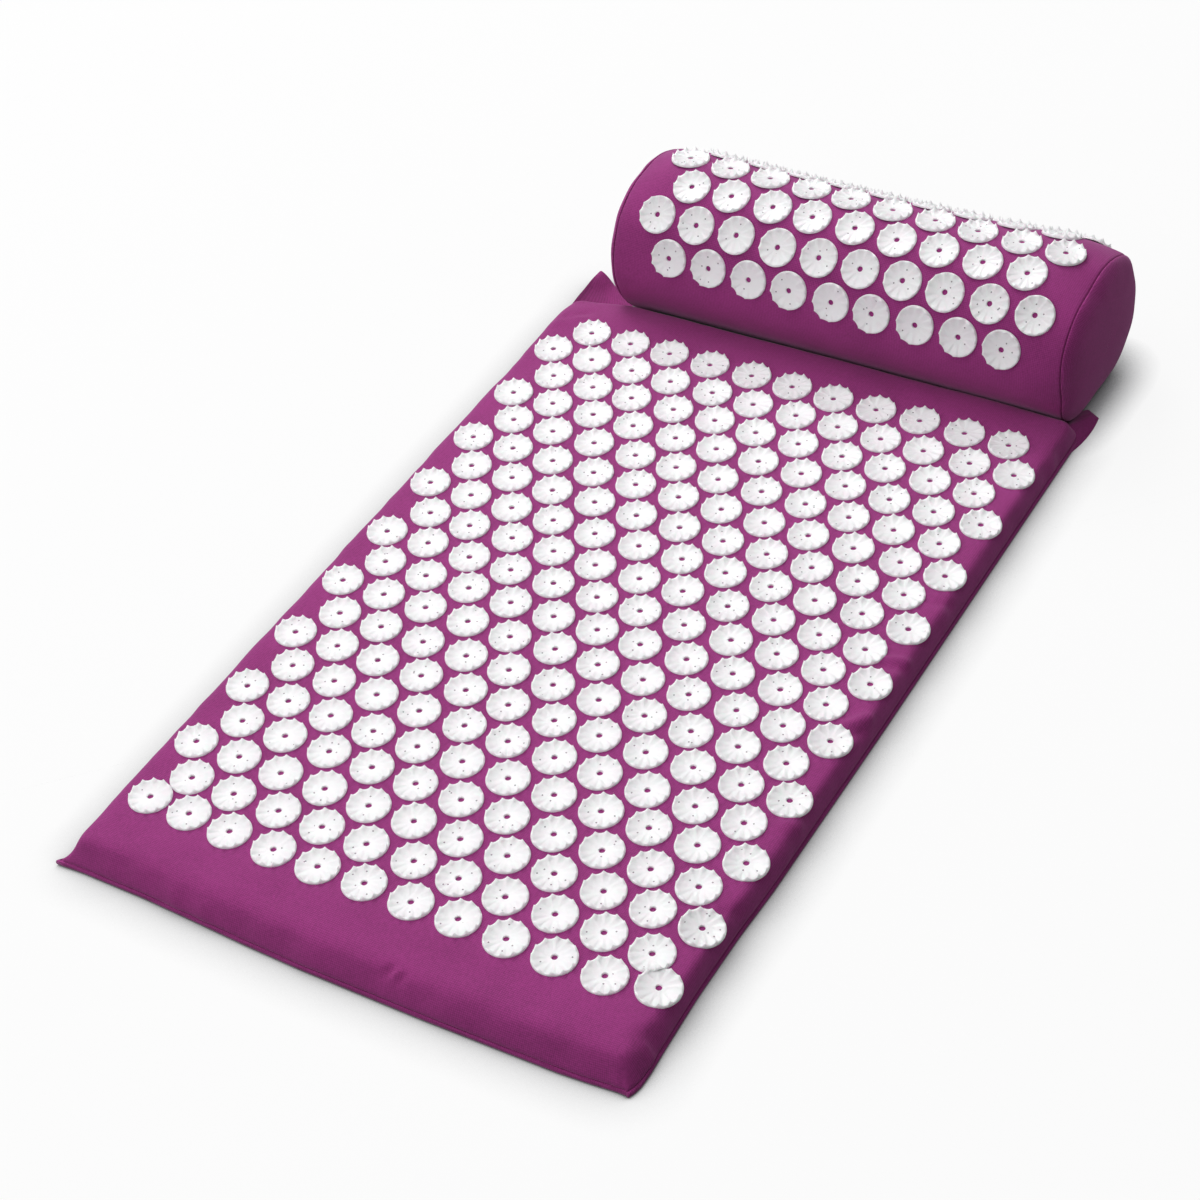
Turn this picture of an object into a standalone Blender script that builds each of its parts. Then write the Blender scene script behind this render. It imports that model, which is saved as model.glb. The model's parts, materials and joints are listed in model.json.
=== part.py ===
"""Acupressure mat with its matching neck pillow, as the separate pieces it is sewn from.

Metres, +Z up. The origin is the centre of the mat's underside, on the floor. +X runs across
the mat and +Y along it, towards the head end, where the pillow lies on the floor and leans
on the mat's end wall.
"""
import math

import bmesh
import bpy
from mathutils import Matrix, Vector

# Overall sizes of the mat
MAT_LENGTH = 0.640
MAT_WIDTH = 0.404
MAT_HEIGHT = 0.021
FOOT_LEAN = 0.010
HEAD_LEAN = 0.013
SIDE_LEAN = 0.0025
FOOT_BOW = 0.004
SIDE_BOW = 0.0015
MAT_CORNER_RADIUS = 0.009
FOOT_LEFT_POINT = (-0.0135, -0.0022)
FOOT_RIGHT_POINT = (-0.0025, -0.0052)
POINT_SETBACK_RATIO = 2.4
SEAM_LIP_HEIGHT = 0.0035
EAR_LENGTH = 0.037

# Cloth and running clearances
CLOTH_WALL = 0.0012
CLEARANCE = 0.0003
CUT_OVERRUN = 0.002

# Spiked discs
DISC_DIAMETER = 0.029
DISC_GAP = 0.0042
DISC_ROW_GAP = 0.0034
SPIKE_HEIGHT = 0.003
SPIKE_SETBACK = 0.0004
HUB_HEIGHT = 0.0008
RIM_SPIKES = 12
FIELD_SHIFT = 0.002
DISC_TURN = math.radians(7.0)
DISC_SIDE_MARGIN = 0.0005
DISC_END_MARGIN = 0.029

# Overall sizes of the pillow
PILLOW_LENGTH = 0.357
PILLOW_RADIUS = 0.063
PILLOW_FOOT_DEPTH = 0.026
PILLOW_AXIS_HEIGHT = 0.0497
PILLOW_END_INSET = 0.0105
PILLOW_YAW = math.radians(-1.68)
PILLOW_FIELD_SHIFT = 0.0025
END_DRAW_IN = 0.002
END_DRAW_LENGTH = 0.010
END_TUCK = 0.0055
END_BULGE = 0.010
FACET_MARGIN = 0.0006
DISC_CENTRE_ANGLE = math.radians(96.7)
DISC_WRAP_ANGLE = math.radians(182.0)
ARC_STEPS = 5

# Zip fasteners, one under the mat and one under the pillow
MAT_ZIP_SETBACK = 0.060
MAT_ZIP_END_MARGIN = 0.045
PILLOW_ZIP_END_MARGIN = 0.038
TAPE_WIDTH = 0.012
TAPE_THICKNESS = 0.0006
BEAD_WIDTH = 0.0010
BEAD_HEIGHT = 0.0016
BEAD_SLIT = 0.0020
HEM_OVERLAP = 0.0055
HEM_BORDER = 0.0005
SLIDER_LENGTH = 0.0105
SLIDER_WIDTH = 0.0082
SLIDER_PLATE = 0.0009
SLIDER_POST_LENGTH = 0.005
FLANGE_WIDTH = 0.0006
BAIL_LENGTH = 0.0044
BAIL_WIDTH = 0.0012
BAIL_WIRE = 0.0007
BAIL_OPENING = 0.0016
PULL_LENGTH = 0.019
PULL_WIDTH = 0.005
PULL_TIP_WIDTH = 0.0062
PULL_THICKNESS = 0.0009
PULL_EYE_LENGTH = 0.0035
PULL_BAR = 0.001
STOP_LENGTH = 0.003
STOP_WIDTH = 0.0046
STOP_FLANGE = 0.0007
STOP_SETBACK = 0.0065
OPEN_STOP_SETBACK = 0.0165

# Shares that shape the outlines
WALL_PROFILE_SHARES = ((0.0, 0.0), (0.30, 0.42), (0.58, 0.80), (0.80, 0.95), (1.0, 1.0))
CORNER_STEPS = 4
SIDE_STEPS = 7
POINT_SHARES = (0.0, 0.3, 1.0, 0.3, 0.0)
LEFT_EAR_SHARES = ((0.60, -0.10), (0.08, -0.24), (-0.05, -0.04), (-0.16, 0.36), (-0.30, 1.0),
                   (-0.05, 0.97), (0.06, 0.88), (0.32, 0.66), (0.54, 0.50))
RIGHT_EAR_SHARES = ((-0.20, -0.20), (0.00, -0.25), (0.05, -0.06), (0.09, 0.10), (0.06, 0.57),
                    (-0.04, 0.70), (-0.16, 0.74), (-0.22, 0.66), (-0.23, 0.20))
DRAW_SHARES = ((0.0, 0.0), (0.55, 0.18), (0.85, 0.52), (1.0, 1.0))
DOME_SHARES = (1.0, 0.93, 0.78, 0.50)
SLIDER_OUTLINE_SHARES = ((-0.50, 0.34), (0.10, 0.36), (0.30, 0.50), (0.42, 0.50), (0.50, 0.30))
PULL_OUTLINE_SHARES = ((0.0, 0.0), (0.45, 0.15), (0.80, 1.0), (0.94, 0.85), (1.0, 0.45))

# Sizes that follow from those above
disc_radius = DISC_DIAMETER / 2
half_spike_turn = math.pi / RIM_SPIKES
disc_across_flats = DISC_DIAMETER * math.cos(half_spike_turn)
disc_pitch = DISC_DIAMETER + DISC_GAP
row_pitch = math.sqrt((DISC_DIAMETER + DISC_ROW_GAP) ** 2 - (disc_pitch / 2) ** 2)
facet_half_width = (disc_across_flats + FACET_MARGIN) / 2
half_row_turn = math.atan(facet_half_width / PILLOW_RADIUS)
pillow_foot_radius = math.hypot(PILLOW_FOOT_DEPTH, PILLOW_AXIS_HEIGHT)
pillow_rows = int(DISC_WRAP_ANGLE / (2 * half_row_turn))
pillow_half = PILLOW_LENGTH / 2
plain_half = pillow_half - END_DRAW_LENGTH
wall_foot = SEAM_LIP_HEIGHT + CLEARANCE

# Heights in a zip, from the floor up
bail_foot = CLEARANCE
pull_axis_height = bail_foot + BAIL_WIRE + BAIL_OPENING / 2
slider_foot = bail_foot + BAIL_WIRE + BAIL_OPENING
slider_gap = BEAD_HEIGHT + 2 * CLEARANCE
slider_top = slider_foot + 2 * SLIDER_PLATE + slider_gap
chain_height = (slider_foot + slider_top) / 2
tape_foot = chain_height - TAPE_THICKNESS / 2
hem_top = tape_foot - CLEARANCE
slot_half_width = BEAD_SLIT / 2 + TAPE_WIDTH - HEM_OVERLAP
hem_half_width = BEAD_SLIT / 2 + TAPE_WIDTH + HEM_BORDER


def chain_ends(length):
    """Give the two ends of a zip's teeth, just clear of its stops."""
    reach = length / 2 - STOP_LENGTH - CLEARANCE
    return -reach + OPEN_STOP_SETBACK, reach - STOP_SETBACK


def clear_scene():
    """Remove the objects that the file opened with."""
    for item in list(bpy.data.objects):
        bpy.data.objects.remove(item, do_unlink=True)


def new_collection(name):
    """Make a collection and link it to the scene."""
    collection = bpy.data.collections.new(name)
    bpy.context.scene.collection.children.link(collection)
    return collection


def finish(name, colour, roughness, metallic=0.0):
    """Make a plain Principled finish."""
    material = bpy.data.materials.new(name)
    material.use_nodes = True
    shader = material.node_tree.nodes["Principled BSDF"]
    shader.inputs["Base Color"].default_value = (*colour, 1.0)
    shader.inputs["Roughness"].default_value = roughness
    shader.inputs["Metallic"].default_value = metallic
    return material


def place(name, bm, material, parent=None, location=(0, 0, 0)):
    """Turn a bmesh into a named object of the part."""
    bmesh.ops.recalc_face_normals(bm, faces=bm.faces)
    mesh = bpy.data.meshes.new(name)
    bm.to_mesh(mesh)
    bm.free()
    item = bpy.data.objects.new(name, mesh)
    item.data.materials.append(material)
    item.location = location
    item.parent = parent
    part_collection.objects.link(item)
    return item


def anchor(name, location, turn=0.0, parent=None):
    """Make an empty that carries a group of pieces."""
    empty = bpy.data.objects.new(name, None)
    empty.location = location
    empty.rotation_euler = (0, 0, turn)
    empty.parent = parent
    part_collection.objects.link(empty)
    return empty


def box(bm, low, high):
    """Add a box between two corners."""
    low, high = Vector(low), Vector(high)
    size = Matrix.Diagonal((*(high - low), 1.0))
    bmesh.ops.create_cube(bm, size=1.0, matrix=Matrix.Translation((low + high) / 2) @ size)


def prism(bm, outline, direction):
    """Add a closed flat outline, pushed along a direction."""
    face = bm.faces.new([bm.verts.new(point) for point in outline])
    pushed = bmesh.ops.extrude_face_region(bm, geom=[face], use_keep_orig=True)
    corners = [item for item in pushed["geom"] if isinstance(item, bmesh.types.BMVert)]
    bmesh.ops.translate(bm, verts=corners, vec=direction)


def combine(item, bm, operation):
    """Join a second shape to an object, or cut it out of it."""
    bmesh.ops.recalc_face_normals(bm, faces=bm.faces)
    mesh = bpy.data.meshes.new(item.name + "_tool")
    bm.to_mesh(mesh)
    bm.free()
    tool = bpy.data.objects.new(mesh.name, mesh)
    tool.location = item.location
    tool.parent = item.parent
    tool.hide_render = True
    tool.display_type = "WIRE"
    cutter_collection.objects.link(tool)
    modifier = item.modifiers.new(operation.lower(), "BOOLEAN")
    modifier.operation = operation
    modifier.object = tool


def loft(bm, rings, closed=True):
    """Join each ring of corners to the next with four-sided faces."""
    for ring, following in zip(rings, rings[1:]):
        count = len(ring) if closed else len(ring) - 1
        for i in range(count):
            j = (i + 1) % len(ring)
            bm.faces.new((ring[i], ring[j], following[j], following[i]))


def ring_of(bm, points):
    """Add one corner for each point."""
    return [bm.verts.new(point) for point in points]


def edge_between(bm, a, b):
    """Give the edge between two corners, made if it is missing."""
    return bm.edges.get((a, b)) or bm.edges.new((a, b))


def add_spiked_disc(bm, frame):
    """Add one disc as a fluted crown and give the edges of its outline.

    The fan of a circle is folded: every second rim point rises to a spike, and the valleys
    between the spikes run down to the cloth.
    """
    fan = bmesh.ops.create_circle(
        bm, cap_ends=True, cap_tris=True, segments=2 * RIM_SPIKES, radius=disc_radius)
    hub = min(fan["verts"], key=lambda corner: corner.co.length)
    rim = [corner for corner in fan["verts"] if corner is not hub]
    rim.sort(key=lambda corner: math.atan2(corner.co.y, corner.co.x) % (2 * math.pi))
    start = 0 if abs(rim[0].co.y) < SPIKE_SETBACK else 1
    tips = rim[start::2]
    valleys = rim[1 - start::2]
    hub.co.z = HUB_HEIGHT
    tip_radius = disc_across_flats / 2 - SPIKE_SETBACK
    for tip in tips:
        tip.co *= tip_radius / tip.co.length
        tip.co.z = SPIKE_HEIGHT
    outline = []
    for tip in tips:
        pair = sorted(valleys, key=lambda corner: (corner.co - tip.co).length)[:2]
        bm.faces.new((tip, *pair))
        outline.append(edge_between(bm, *pair))
    for corner in fan["verts"]:
        corner.co = frame @ corner.co
    return outline


def fill_around(bm, border, discs, normal):
    """Fill a flat border of corners with cloth, around the discs' outlines."""
    edges = [edge_between(bm, a, b) for a, b in zip(border, border[1:] + border[:1])]
    for outline in discs:
        edges.extend(outline)
    bmesh.ops.triangle_fill(bm, use_beauty=True, edges=edges, normal=normal)


def row_centres(count):
    """Give the places of a row of discs, about the row's middle."""
    return [(i - (count - 1) / 2) * disc_pitch for i in range(count)]


def corner_point(tip, inset, step, lean_share):
    """Give how far a step of a foot corner is drawn out towards its point.

    The cloth runs to a point at the seam, and is round again where the wall has leaned in.
    """
    tip = Vector(tip)
    reach = max(0.0, tip.length - POINT_SETBACK_RATIO * inset)
    return tip.normalized() * reach * POINT_SHARES[step] * (1 - lean_share) ** 2


def mat_ring(inset, height, lean_share=0.0, head_share=0.0, pointed=True):
    """Give the mat's plan at a height: a rectangle with round corners and bowed sides.

    The two shares say how far the walls have leaned in, on three sides and at the head end,
    and inset draws the ring in all round. The covers' foot corners are drawn to a point.
    """
    side = MAT_WIDTH / 2 - SIDE_BOW - SIDE_LEAN * lean_share - MAT_CORNER_RADIUS
    head = MAT_LENGTH / 2 - HEAD_LEAN * head_share - MAT_CORNER_RADIUS
    foot = MAT_LENGTH / 2 - FOOT_BOW - FOOT_LEAN * lean_share - MAT_CORNER_RADIUS
    radius = MAT_CORNER_RADIUS - inset
    centres = ((side, head), (-side, head), (-side, -foot), (side, -foot))
    bows = (0.0, SIDE_BOW, FOOT_BOW, SIDE_BOW)
    tips = ((0.0, 0.0), (0.0, 0.0), FOOT_LEFT_POINT, FOOT_RIGHT_POINT)
    points = []
    for quarter, (x, y) in enumerate(centres):
        for step in range(CORNER_STEPS + 1):
            angle = (quarter + step / CORNER_STEPS) * math.pi / 2
            corner = Vector((x + radius * math.cos(angle), y + radius * math.sin(angle)))
            if pointed:
                corner += corner_point(tips[quarter], inset, step, lean_share)
            points.append((*corner, height))
        next_x, next_y = centres[(quarter + 1) % len(centres)]
        out = Vector((math.cos(angle), math.sin(angle)))
        for step in range(1, SIDE_STEPS):
            share = step / SIDE_STEPS
            reach = radius + bows[quarter] * 4 * share * (1 - share)
            middle = Vector((x, y)).lerp(Vector((next_x, next_y)), share) + out * reach
            points.append((*middle, height))
    return points


def mat_walls(inset, foot_height, top_height, pointed=True):
    """Give the rings of the mat's walls, from the foot up to the flat top.

    Three walls are round in section. The head wall is straight, pressed flat by the pillow.
    """
    rings = []
    for lean_share, height_share in WALL_PROFILE_SHARES:
        height = foot_height + (top_height - foot_height) * height_share
        rings.append(mat_ring(inset, height, lean_share, height_share, pointed))
    return rings


def make_mat_top_cover():
    """Make the cloth top and walls of the mat, with every spiked disc fused to it."""
    bm = bmesh.new()
    top = MAT_HEIGHT - CLOTH_WALL
    outer = [ring_of(bm, ring) for ring in mat_walls(0.0, wall_foot, MAT_HEIGHT)]
    inner = [ring_of(bm, ring) for ring in mat_walls(CLOTH_WALL, wall_foot, top)]
    loft(bm, outer)
    loft(bm, inner)
    loft(bm, [outer[0], inner[0]])
    bm.faces.new(inner[-1])
    flat_width = MAT_WIDTH - 2 * (SIDE_LEAN + DISC_SIDE_MARGIN + FIELD_SHIFT)
    flat_length = MAT_LENGTH - HEAD_LEAN - FOOT_LEAN - 2 * DISC_END_MARGIN
    wide = int((flat_width - disc_across_flats) / disc_pitch) + 1
    rows = int((flat_length - disc_across_flats) / row_pitch) + 1
    discs = []
    for row in range(rows):
        y = (row - (rows - 1) / 2) * row_pitch
        for x in row_centres(wide if row % 2 == 0 else wide - 1):
            frame = Matrix.Translation((x + FIELD_SHIFT, y, MAT_HEIGHT))
            turn = Matrix.Rotation(row * DISC_TURN, 4, "Z")
            discs.append(add_spiked_disc(bm, frame @ turn))
    fill_around(bm, outer[-1], discs, Vector((0, 0, 1)))
    print("mat discs", len(discs), "rows", rows)
    return place("mat_top_cover", bm, cloth)


def add_hem(item, zip_length, middle):
    """Raise the turned-in hem that a zip's tapes lie on, and open the slot between."""
    half = zip_length / 2
    hem = bmesh.new()
    x, y = middle
    box(hem, (x - half - HEM_BORDER, y - hem_half_width, CLOTH_WALL / 2),
        (x + half + HEM_BORDER, y + hem_half_width, hem_top))
    combine(item, hem, "UNION")
    slot = bmesh.new()
    box(slot, (x - half + HEM_OVERLAP, y - slot_half_width, -CUT_OVERRUN),
        (x + half - HEM_OVERLAP, y + slot_half_width, hem_top + CUT_OVERRUN))
    combine(item, slot, "DIFFERENCE")


def cut_zip_room(item, zip_length, middle):
    """Cut the room that a soft core gives way to, round the hem, the tapes and the slider."""
    room = bmesh.new()
    x, y = middle
    half = zip_length / 2 + HEM_BORDER + CLEARANCE
    box(room, (x - half, y - hem_half_width - CLEARANCE, -CUT_OVERRUN),
        (x + half, y + hem_half_width + CLEARANCE, slider_top + CLEARANCE))
    combine(item, room, "DIFFERENCE")


def make_mat_base_cover():
    """Make the cloth underside, whose turned-up edge is the lip below the side seam."""
    bm = bmesh.new()
    outer_foot = ring_of(bm, mat_ring(0.0, 0.0))
    outer_lip = ring_of(bm, mat_ring(0.0, SEAM_LIP_HEIGHT))
    inner_lip = ring_of(bm, mat_ring(CLOTH_WALL, SEAM_LIP_HEIGHT))
    inner_foot = ring_of(bm, mat_ring(CLOTH_WALL, CLOTH_WALL))
    loft(bm, [outer_foot, outer_lip, inner_lip, inner_foot])
    bm.faces.new(outer_foot)
    bm.faces.new(inner_foot)
    base = place("mat_base_cover", bm, cloth)
    for side, shares in ((-1, LEFT_EAR_SHARES), (1, RIGHT_EAR_SHARES)):
        corner = Vector((side * MAT_WIDTH / 2, MAT_LENGTH / 2, 0))
        ear = bmesh.new()
        prism(ear, [corner + EAR_LENGTH * Vector((*share, 0)) for share in shares],
              (0, 0, CLOTH_WALL))
        combine(base, ear, "UNION")
    add_hem(base, mat_zip_length, (0, mat_zip_place))
    return base


def make_mat_foam_core():
    """Make the foam sheet that the two covers hold."""
    bm = bmesh.new()
    inset = CLOTH_WALL + CLEARANCE
    rings = [mat_ring(inset, inset, pointed=False)]
    rings += mat_walls(inset, wall_foot, MAT_HEIGHT - inset, pointed=False)
    rings = [ring_of(bm, ring) for ring in rings]
    loft(bm, rings)
    bm.faces.new(rings[0])
    bm.faces.new(rings[-1])
    core = place("mat_foam_core", bm, foam)
    cut_zip_room(core, mat_zip_length, (0, mat_zip_place))
    return core


def pillow_section(inset, foot_height):
    """Give the bolster's outline, open at the flat underside, from front to rear.

    The points are pairs: distance behind the axis and height above the floor. Between two
    arcs lie the flats that each carry one row of discs.
    """
    foot_radius = pillow_foot_radius - inset
    corner_radius = (PILLOW_RADIUS - inset) / math.cos(half_row_turn)
    foot_angle = math.asin((PILLOW_AXIS_HEIGHT - foot_height) / foot_radius)
    first = DISC_CENTRE_ANGLE - pillow_rows * half_row_turn
    last = DISC_CENTRE_ANGLE + pillow_rows * half_row_turn
    polar = []
    for step in range(ARC_STEPS):
        share = step / ARC_STEPS
        angle = -foot_angle + (first + foot_angle) * share
        polar.append((angle, foot_radius + (corner_radius - foot_radius) * share))
    for row in range(pillow_rows + 1):
        polar.append((first + 2 * row * half_row_turn, corner_radius))
    for step in range(1, ARC_STEPS + 1):
        share = step / ARC_STEPS
        angle = last + (math.pi + foot_angle - last) * share
        polar.append((angle, corner_radius + (foot_radius - corner_radius) * share))
    return [(-radius * math.cos(angle), PILLOW_AXIS_HEIGHT + radius * math.sin(angle))
            for angle, radius in polar]


def reach_at(front, height):
    """Give how far the bolster's front stands out from its axis, at a height."""
    for (depth, low), (next_depth, high) in zip(front, front[1:]):
        if low <= height <= high:
            share = (height - low) / (high - low)
            return -depth - (next_depth - depth) * share
    raise ValueError("no front at this height")


def head_lean_at(height):
    """Give how far the mat's head wall leans in, at a height above the seam."""
    return HEAD_LEAN * (height - wall_foot) / (MAT_HEIGHT - wall_foot)


def drawn_in(section, share):
    """Draw a section in towards the axis, as the end seam pulls it, with its foot kept."""
    scale = 1 - END_DRAW_IN * share / PILLOW_RADIUS
    points = []
    for depth, height in section:
        above = height - PILLOW_AXIS_HEIGHT
        lifted = above * scale if above > 0 else above
        points.append((depth * scale, PILLOW_AXIS_HEIGHT + lifted))
    return points


def tuck_at(height):
    """Give how far the lower cloth of an end turns in under the bolster, at a height."""
    return END_TUCK * max(0.0, 1 - height / PILLOW_AXIS_HEIGHT) ** 2


def pillow_station(section, sign, along, draw):
    """Give the points of one section near an end seam, on the side that sign names."""
    x = plain_half + END_DRAW_LENGTH * along
    return [(sign * (x - tuck_at(height) * along), depth, height)
            for depth, height in drawn_in(section, draw)]


def pillow_stations(section):
    """Give the sections along the bolster, from its left seam to its right one."""
    left = [pillow_station(section, -1, along, draw) for along, draw in reversed(DRAW_SHARES)]
    return left + [pillow_station(section, 1, along, draw) for along, draw in DRAW_SHARES]


def make_pillow_wrap():
    """Make the bolster's round cloth side, with its rows of discs fused to it."""
    bm = bmesh.new()
    outer = [ring_of(bm, ring) for ring in pillow_stations(pillow_section(0.0, 0.0))]
    inner = [ring_of(bm, ring) for ring in pillow_stations(pillow_section(CLOTH_WALL, 0.0))]
    middle = len(outer) // 2
    loft(bm, outer[:middle], closed=False)
    loft(bm, outer[middle:], closed=False)
    loft(bm, inner, closed=False)
    for end in (0, -1):
        loft(bm, [outer[end], inner[end]], closed=False)
    for side in (0, -1):
        loft(bm, [[ring[side] for ring in outer], [ring[side] for ring in inner]], closed=False)
    left, right = outer[middle - 1], outer[middle]
    flat_length = 2 * (plain_half - PILLOW_FIELD_SHIFT)
    wide = int((flat_length - disc_across_flats) / disc_pitch) + 1
    total = 0
    for i in range(len(left) - 1):
        border = [left[i], right[i], right[i + 1], left[i + 1]]
        row = i - ARC_STEPS
        if 0 <= row < pillow_rows:
            angle = DISC_CENTRE_ANGLE + (2 * row + 1 - pillow_rows) * half_row_turn
            turn = Matrix.Rotation(math.pi / 2 - angle, 4, "X")
            axis = Matrix.Translation((0, 0, PILLOW_AXIS_HEIGHT))
            discs = []
            for x in row_centres(wide if row % 2 else wide - 1):
                seat = Matrix.Translation((x + PILLOW_FIELD_SHIFT, 0, PILLOW_RADIUS))
                discs.append(add_spiked_disc(bm, axis @ turn @ seat))
            fill_around(bm, border, discs, turn @ Vector((0, 0, 1)))
            total += len(discs)
        else:
            bm.faces.new(border)
    print("pillow discs", total, "rows", pillow_rows)
    return place("pillow_wrap_cover", bm, cloth, pillow_anchor)


def dome_rings(section, seam, bulge):
    """Give the rings of a domed end, from its seam to its last ring before the middle."""
    heights = [height for _, height in section]
    middle = (min(heights) + max(heights)) / 2
    rings = []
    for share in DOME_SHARES:
        x = seam + bulge * math.sqrt(1 - share * share)
        rings.append([(x - tuck_at(height) * share ** 2, depth * share,
                       middle + (height - middle) * share) for depth, height in section])
    return rings, (seam + bulge, 0.0, middle)


def close_dome(bm, ring, tip):
    """Close the last ring of a dome on its middle point."""
    middle = bm.verts.new(tip)
    for i, corner in enumerate(ring):
        bm.faces.new((corner, ring[(i + 1) % len(ring)], middle))


def mirrored(bm):
    """Mirror a shape to the other end of the bolster."""
    bmesh.ops.scale(bm, vec=(-1, 1, 1), verts=bm.verts)


def make_pillow_end(name, left_end):
    """Make one end panel, a D-shaped piece of cloth that the filling pushes out."""
    bm = bmesh.new()
    seam = pillow_half + CLEARANCE
    outer_section = drawn_in(pillow_section(0.0, 0.0), 1.0)
    inner_section = drawn_in(pillow_section(CLOTH_WALL, CLOTH_WALL), 1.0)
    outer_rings, outer_tip = dome_rings(outer_section, seam, END_BULGE)
    inner_rings, inner_tip = dome_rings(inner_section, seam, END_BULGE - CLOTH_WALL)
    outer = [ring_of(bm, ring) for ring in outer_rings]
    inner = [ring_of(bm, ring) for ring in inner_rings]
    loft(bm, outer)
    loft(bm, inner)
    loft(bm, [outer[0], inner[0]])
    close_dome(bm, outer[-1], outer_tip)
    close_dome(bm, inner[-1], inner_tip)
    if left_end:
        mirrored(bm)
    return place(name, bm, cloth, pillow_anchor)


def make_pillow_base_panel():
    """Make the flat underside, between the lower edges of the wrap."""
    bm = bmesh.new()
    half_depth = drawn_in(pillow_section(CLOTH_WALL, 0.0), 1.0)[-1][0] - CLEARANCE
    half_length = pillow_half - END_TUCK
    box(bm, (-half_length, -half_depth, 0), (half_length, half_depth, CLOTH_WALL))
    panel = place("pillow_base_panel", bm, cloth, pillow_anchor)
    add_hem(panel, pillow_zip_length, (0, 0))
    return panel


def make_pillow_foam_core():
    """Make the filling of the bolster, domed at its ends."""
    bm = bmesh.new()
    inset = CLOTH_WALL + CLEARANCE
    section = pillow_section(inset, inset)
    rings = [ring_of(bm, ring) for ring in pillow_stations(section)]
    dome, tip = dome_rings(drawn_in(section, 1.0), pillow_half, END_BULGE - inset)
    right = [ring_of(bm, ring) for ring in dome[1:]]
    left = [ring_of(bm, [(-x, y, z) for x, y, z in ring]) for ring in reversed(dome[1:])]
    loft(bm, left + rings + right)
    close_dome(bm, right[-1], tip)
    close_dome(bm, left[0], (-tip[0], tip[1], tip[2]))
    core = place("pillow_foam_core", bm, foam, pillow_anchor)
    cut_zip_room(core, pillow_zip_length, (0, 0))
    return core


def make_zip_half(name, side, length, parent):
    """Make one woven tape with its bead of moulded teeth along the inner edge."""
    near = BEAD_SLIT / 2
    tape = bmesh.new()
    box(tape, (-length / 2, min(side * near, side * (near + TAPE_WIDTH)), tape_foot),
        (length / 2, max(side * near, side * (near + TAPE_WIDTH)), tape_foot + TAPE_THICKNESS))
    half = place(name, tape, zip_cloth, parent)
    left, right = chain_ends(length)
    bead = bmesh.new()
    box(bead, (left, min(side * near, side * (near + BEAD_WIDTH)), chain_height - BEAD_HEIGHT / 2),
        (right, max(side * near, side * (near + BEAD_WIDTH)), chain_height + BEAD_HEIGHT / 2))
    combine(half, bead, "UNION")
    return half


def make_zip_stop(name, x, parent):
    """Make one end stop, crimped over both tapes with its web in the slit between them."""
    bm = bmesh.new()
    web = BEAD_SLIT / 2 - CLEARANCE
    grip = TAPE_THICKNESS / 2 + CLEARANCE
    reach = grip + STOP_FLANGE
    half = STOP_WIDTH / 2
    corners = ((half, grip), (half, reach), (-half, reach), (-half, grip), (-web, grip),
               (-web, -grip), (-half, -grip), (-half, -reach), (half, -reach), (half, -grip),
               (web, -grip), (web, grip))
    start = -STOP_LENGTH / 2
    prism(bm, [(start, y, z) for y, z in corners], (STOP_LENGTH, 0, 0))
    return place(name, bm, zip_metal, parent, (x, 0, chain_height))


def make_zip_slider(name, x, parent):
    """Make the slider: two plates joined by a post, with flanges and a bail for the pull."""
    half_gap = slider_gap / 2
    shape = [(along * SLIDER_LENGTH, across * SLIDER_WIDTH)
             for along, across in SLIDER_OUTLINE_SHARES]
    outline = shape + [(along, -across) for along, across in reversed(shape)]
    plate = bmesh.new()
    prism(plate, [(px, py, half_gap) for px, py in outline], (0, 0, SLIDER_PLATE))
    slider = place(name, plate, zip_metal, parent, (x, 0, chain_height))
    lower = bmesh.new()
    prism(lower, [(px, py, -half_gap) for px, py in outline], (0, 0, -SLIDER_PLATE))
    post_bite = SLIDER_PLATE / 2
    post_half = BEAD_SLIT / 2 - CLEARANCE
    post = bmesh.new()
    box(post, (-SLIDER_POST_LENGTH / 2, -post_half, -half_gap - post_bite),
        (SLIDER_POST_LENGTH / 2, post_half, half_gap + post_bite))
    combine(slider, post, "UNION")
    combine(slider, lower, "UNION")
    tail, tail_share = shape[0]
    tape_gap = TAPE_THICKNESS / 2 + CLEARANCE
    for side in (-1, 1):
        for level in (-1, 1):
            edge = side * tail_share
            flange = bmesh.new()
            box(flange,
                (tail, min(edge, edge - side * FLANGE_WIDTH),
                 min(level * tape_gap, level * (half_gap + post_bite))),
                (0, max(edge, edge - side * FLANGE_WIDTH),
                 max(level * tape_gap, level * (half_gap + post_bite))))
            combine(slider, flange, "UNION")
    outer = BAIL_LENGTH / 2
    inside = outer - BAIL_WIRE
    root = -half_gap - SLIDER_PLATE + post_bite
    foot = bail_foot - chain_height
    arch = ((-outer, root), (-outer, foot), (outer, foot), (outer, root),
            (inside, root), (inside, foot + BAIL_WIRE), (-inside, foot + BAIL_WIRE), (-inside, root))
    bail = bmesh.new()
    prism(bail, [(px, -BAIL_WIDTH / 2, pz) for px, pz in arch], (0, BAIL_WIDTH, 0))
    combine(slider, bail, "UNION")
    return slider


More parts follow.
